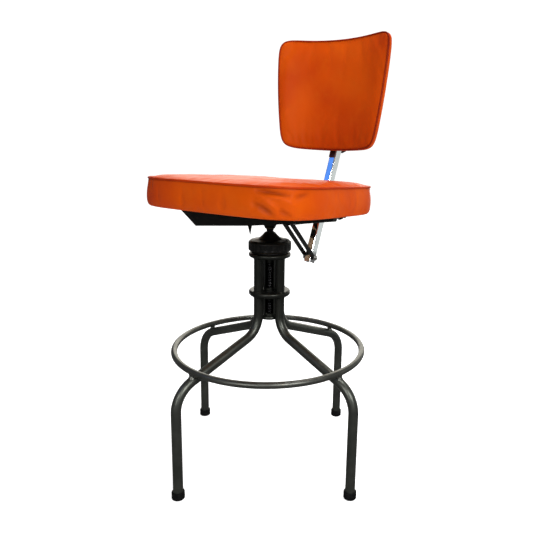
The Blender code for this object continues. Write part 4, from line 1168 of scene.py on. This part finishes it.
def build_floor():
    mesh = bpy.data.meshes.new("floor")
    steps = 96
    verts = [(FLOOR_R * math.cos(TAU * i / steps), FLOOR_R * math.sin(TAU * i / steps), 0.0)
             for i in range(steps)]
    mesh.from_pydata(verts, [], [tuple(range(steps))])
    floor = bpy.data.objects.new("floor", mesh)
    bpy.context.scene.collection.objects.link(floor)
    look = Look("pale_floor", 0.85, Specular_IOR_Level=0.1)
    look.colour(look.mix(look.noise(1.5, 3.0), (0.90, 0.90, 0.90), (0.93, 0.93, 0.93)))
    look.shader.inputs["Emission Color"].default_value = (1.0, 1.0, 1.0, 1.0)
    glow = look.curve(look.node("ShaderNodeLightPath").outputs["Is Camera Ray"], 0.0, 1.0, 0.0, FLOOR_GLOW)
    look.link(glow, look.shader.inputs["Emission Strength"])
    mesh.materials.append(look.material)
    floor.visible_glossy = False


def build_camera():
    data = bpy.data.cameras.new("camera")
    data.sensor_width = 36.0
    data.lens = CAMERA_LENS
    data.shift_x, data.shift_y = CAMERA_SHIFT
    data.clip_end = 400.0
    camera = bpy.data.objects.new("camera", data)
    bpy.context.scene.collection.objects.link(camera)
    yaw, pitch, roll = CAMERA_YAW, CAMERA_PITCH, CAMERA_ROLL
    forward = Vector((-math.sin(yaw) * math.cos(pitch), math.cos(yaw) * math.cos(pitch), -math.sin(pitch)))
    right = Vector((math.cos(yaw), math.sin(yaw), 0))
    up = right.cross(forward)
    x = right * math.cos(roll) + up * math.sin(roll)
    y = up * math.cos(roll) - right * math.sin(roll)
    turn = Matrix((x, y, -forward)).transposed().to_4x4()
    camera.matrix_world = Matrix.Translation(Vector(CAMERA_AT) * MM) @ turn
    bpy.context.scene.camera = camera


def build_world():
    """Surroundings that look white, light the stool softly and leave reflections to the cards."""
    world = bpy.data.worlds.new("studio")
    bpy.context.scene.world = world
    world.use_nodes = True
    tree = world.node_tree
    sky = tree.nodes["Background"]
    sky.inputs["Color"].default_value = (1.0, 1.0, 1.0, 1.0)
    pick = tree.nodes.new("ShaderNodeMix")
    pick.inputs["A"].default_value = AMBIENT
    pick.inputs["B"].default_value = BACKDROP
    rays = tree.nodes.new("ShaderNodeLightPath")
    tree.links.new(rays.outputs["Is Camera Ray"], pick.inputs["Factor"])
    dim = tree.nodes.new("ShaderNodeMix")
    dim.inputs["B"].default_value = GLOSSY_AMBIENT
    tree.links.new(rays.outputs["Is Glossy Ray"], dim.inputs["Factor"])
    tree.links.new(pick.outputs["Result"], dim.inputs["A"])
    tree.links.new(dim.outputs["Result"], sky.inputs["Strength"])


def build_stage():
    build_floor()
    build_world()
    area_light("key", (3.1, -1.8, 2.4), (0, 0, 0.6), 1.2, 100)
    area_light("top", (0.2, 0.3, 3.6), (0, 0, 0.6), 1.5, 72)
    card("sky_card", 0.8, (-1.55, -1.75, 2.35), (0, 0.24, 0.72), (0.11, 0.32, 1.0), 1.15)
    card("front_card", 1.2, (0.55, -2.7, 1.4), (0, 0.2, 0.9), (1.0, 1.0, 1.0), 6.0)
    card("back_card", 6.0, (-2.4, 4.6, 2.2), (0, 0, 0.7), (1.0, 0.96, 0.88), 2.5)
    card("side_card", 2.6, (2.2, 3.4, 1.0), (0, 0.2, 0.75), (0.95, 1.0, 0.97), 0.7)
    bpy.context.scene.view_settings.view_transform = "Standard"


build_legs()
build_ring()
build_column()
build_hand_nut()
build_screw()
build_ironwork()
build_rod()
build_upright()
build_seat_cushion()
build_seat_welt()
build_staples()
build_back_cushion()
build_back_trim()
build_stage()
build_camera()
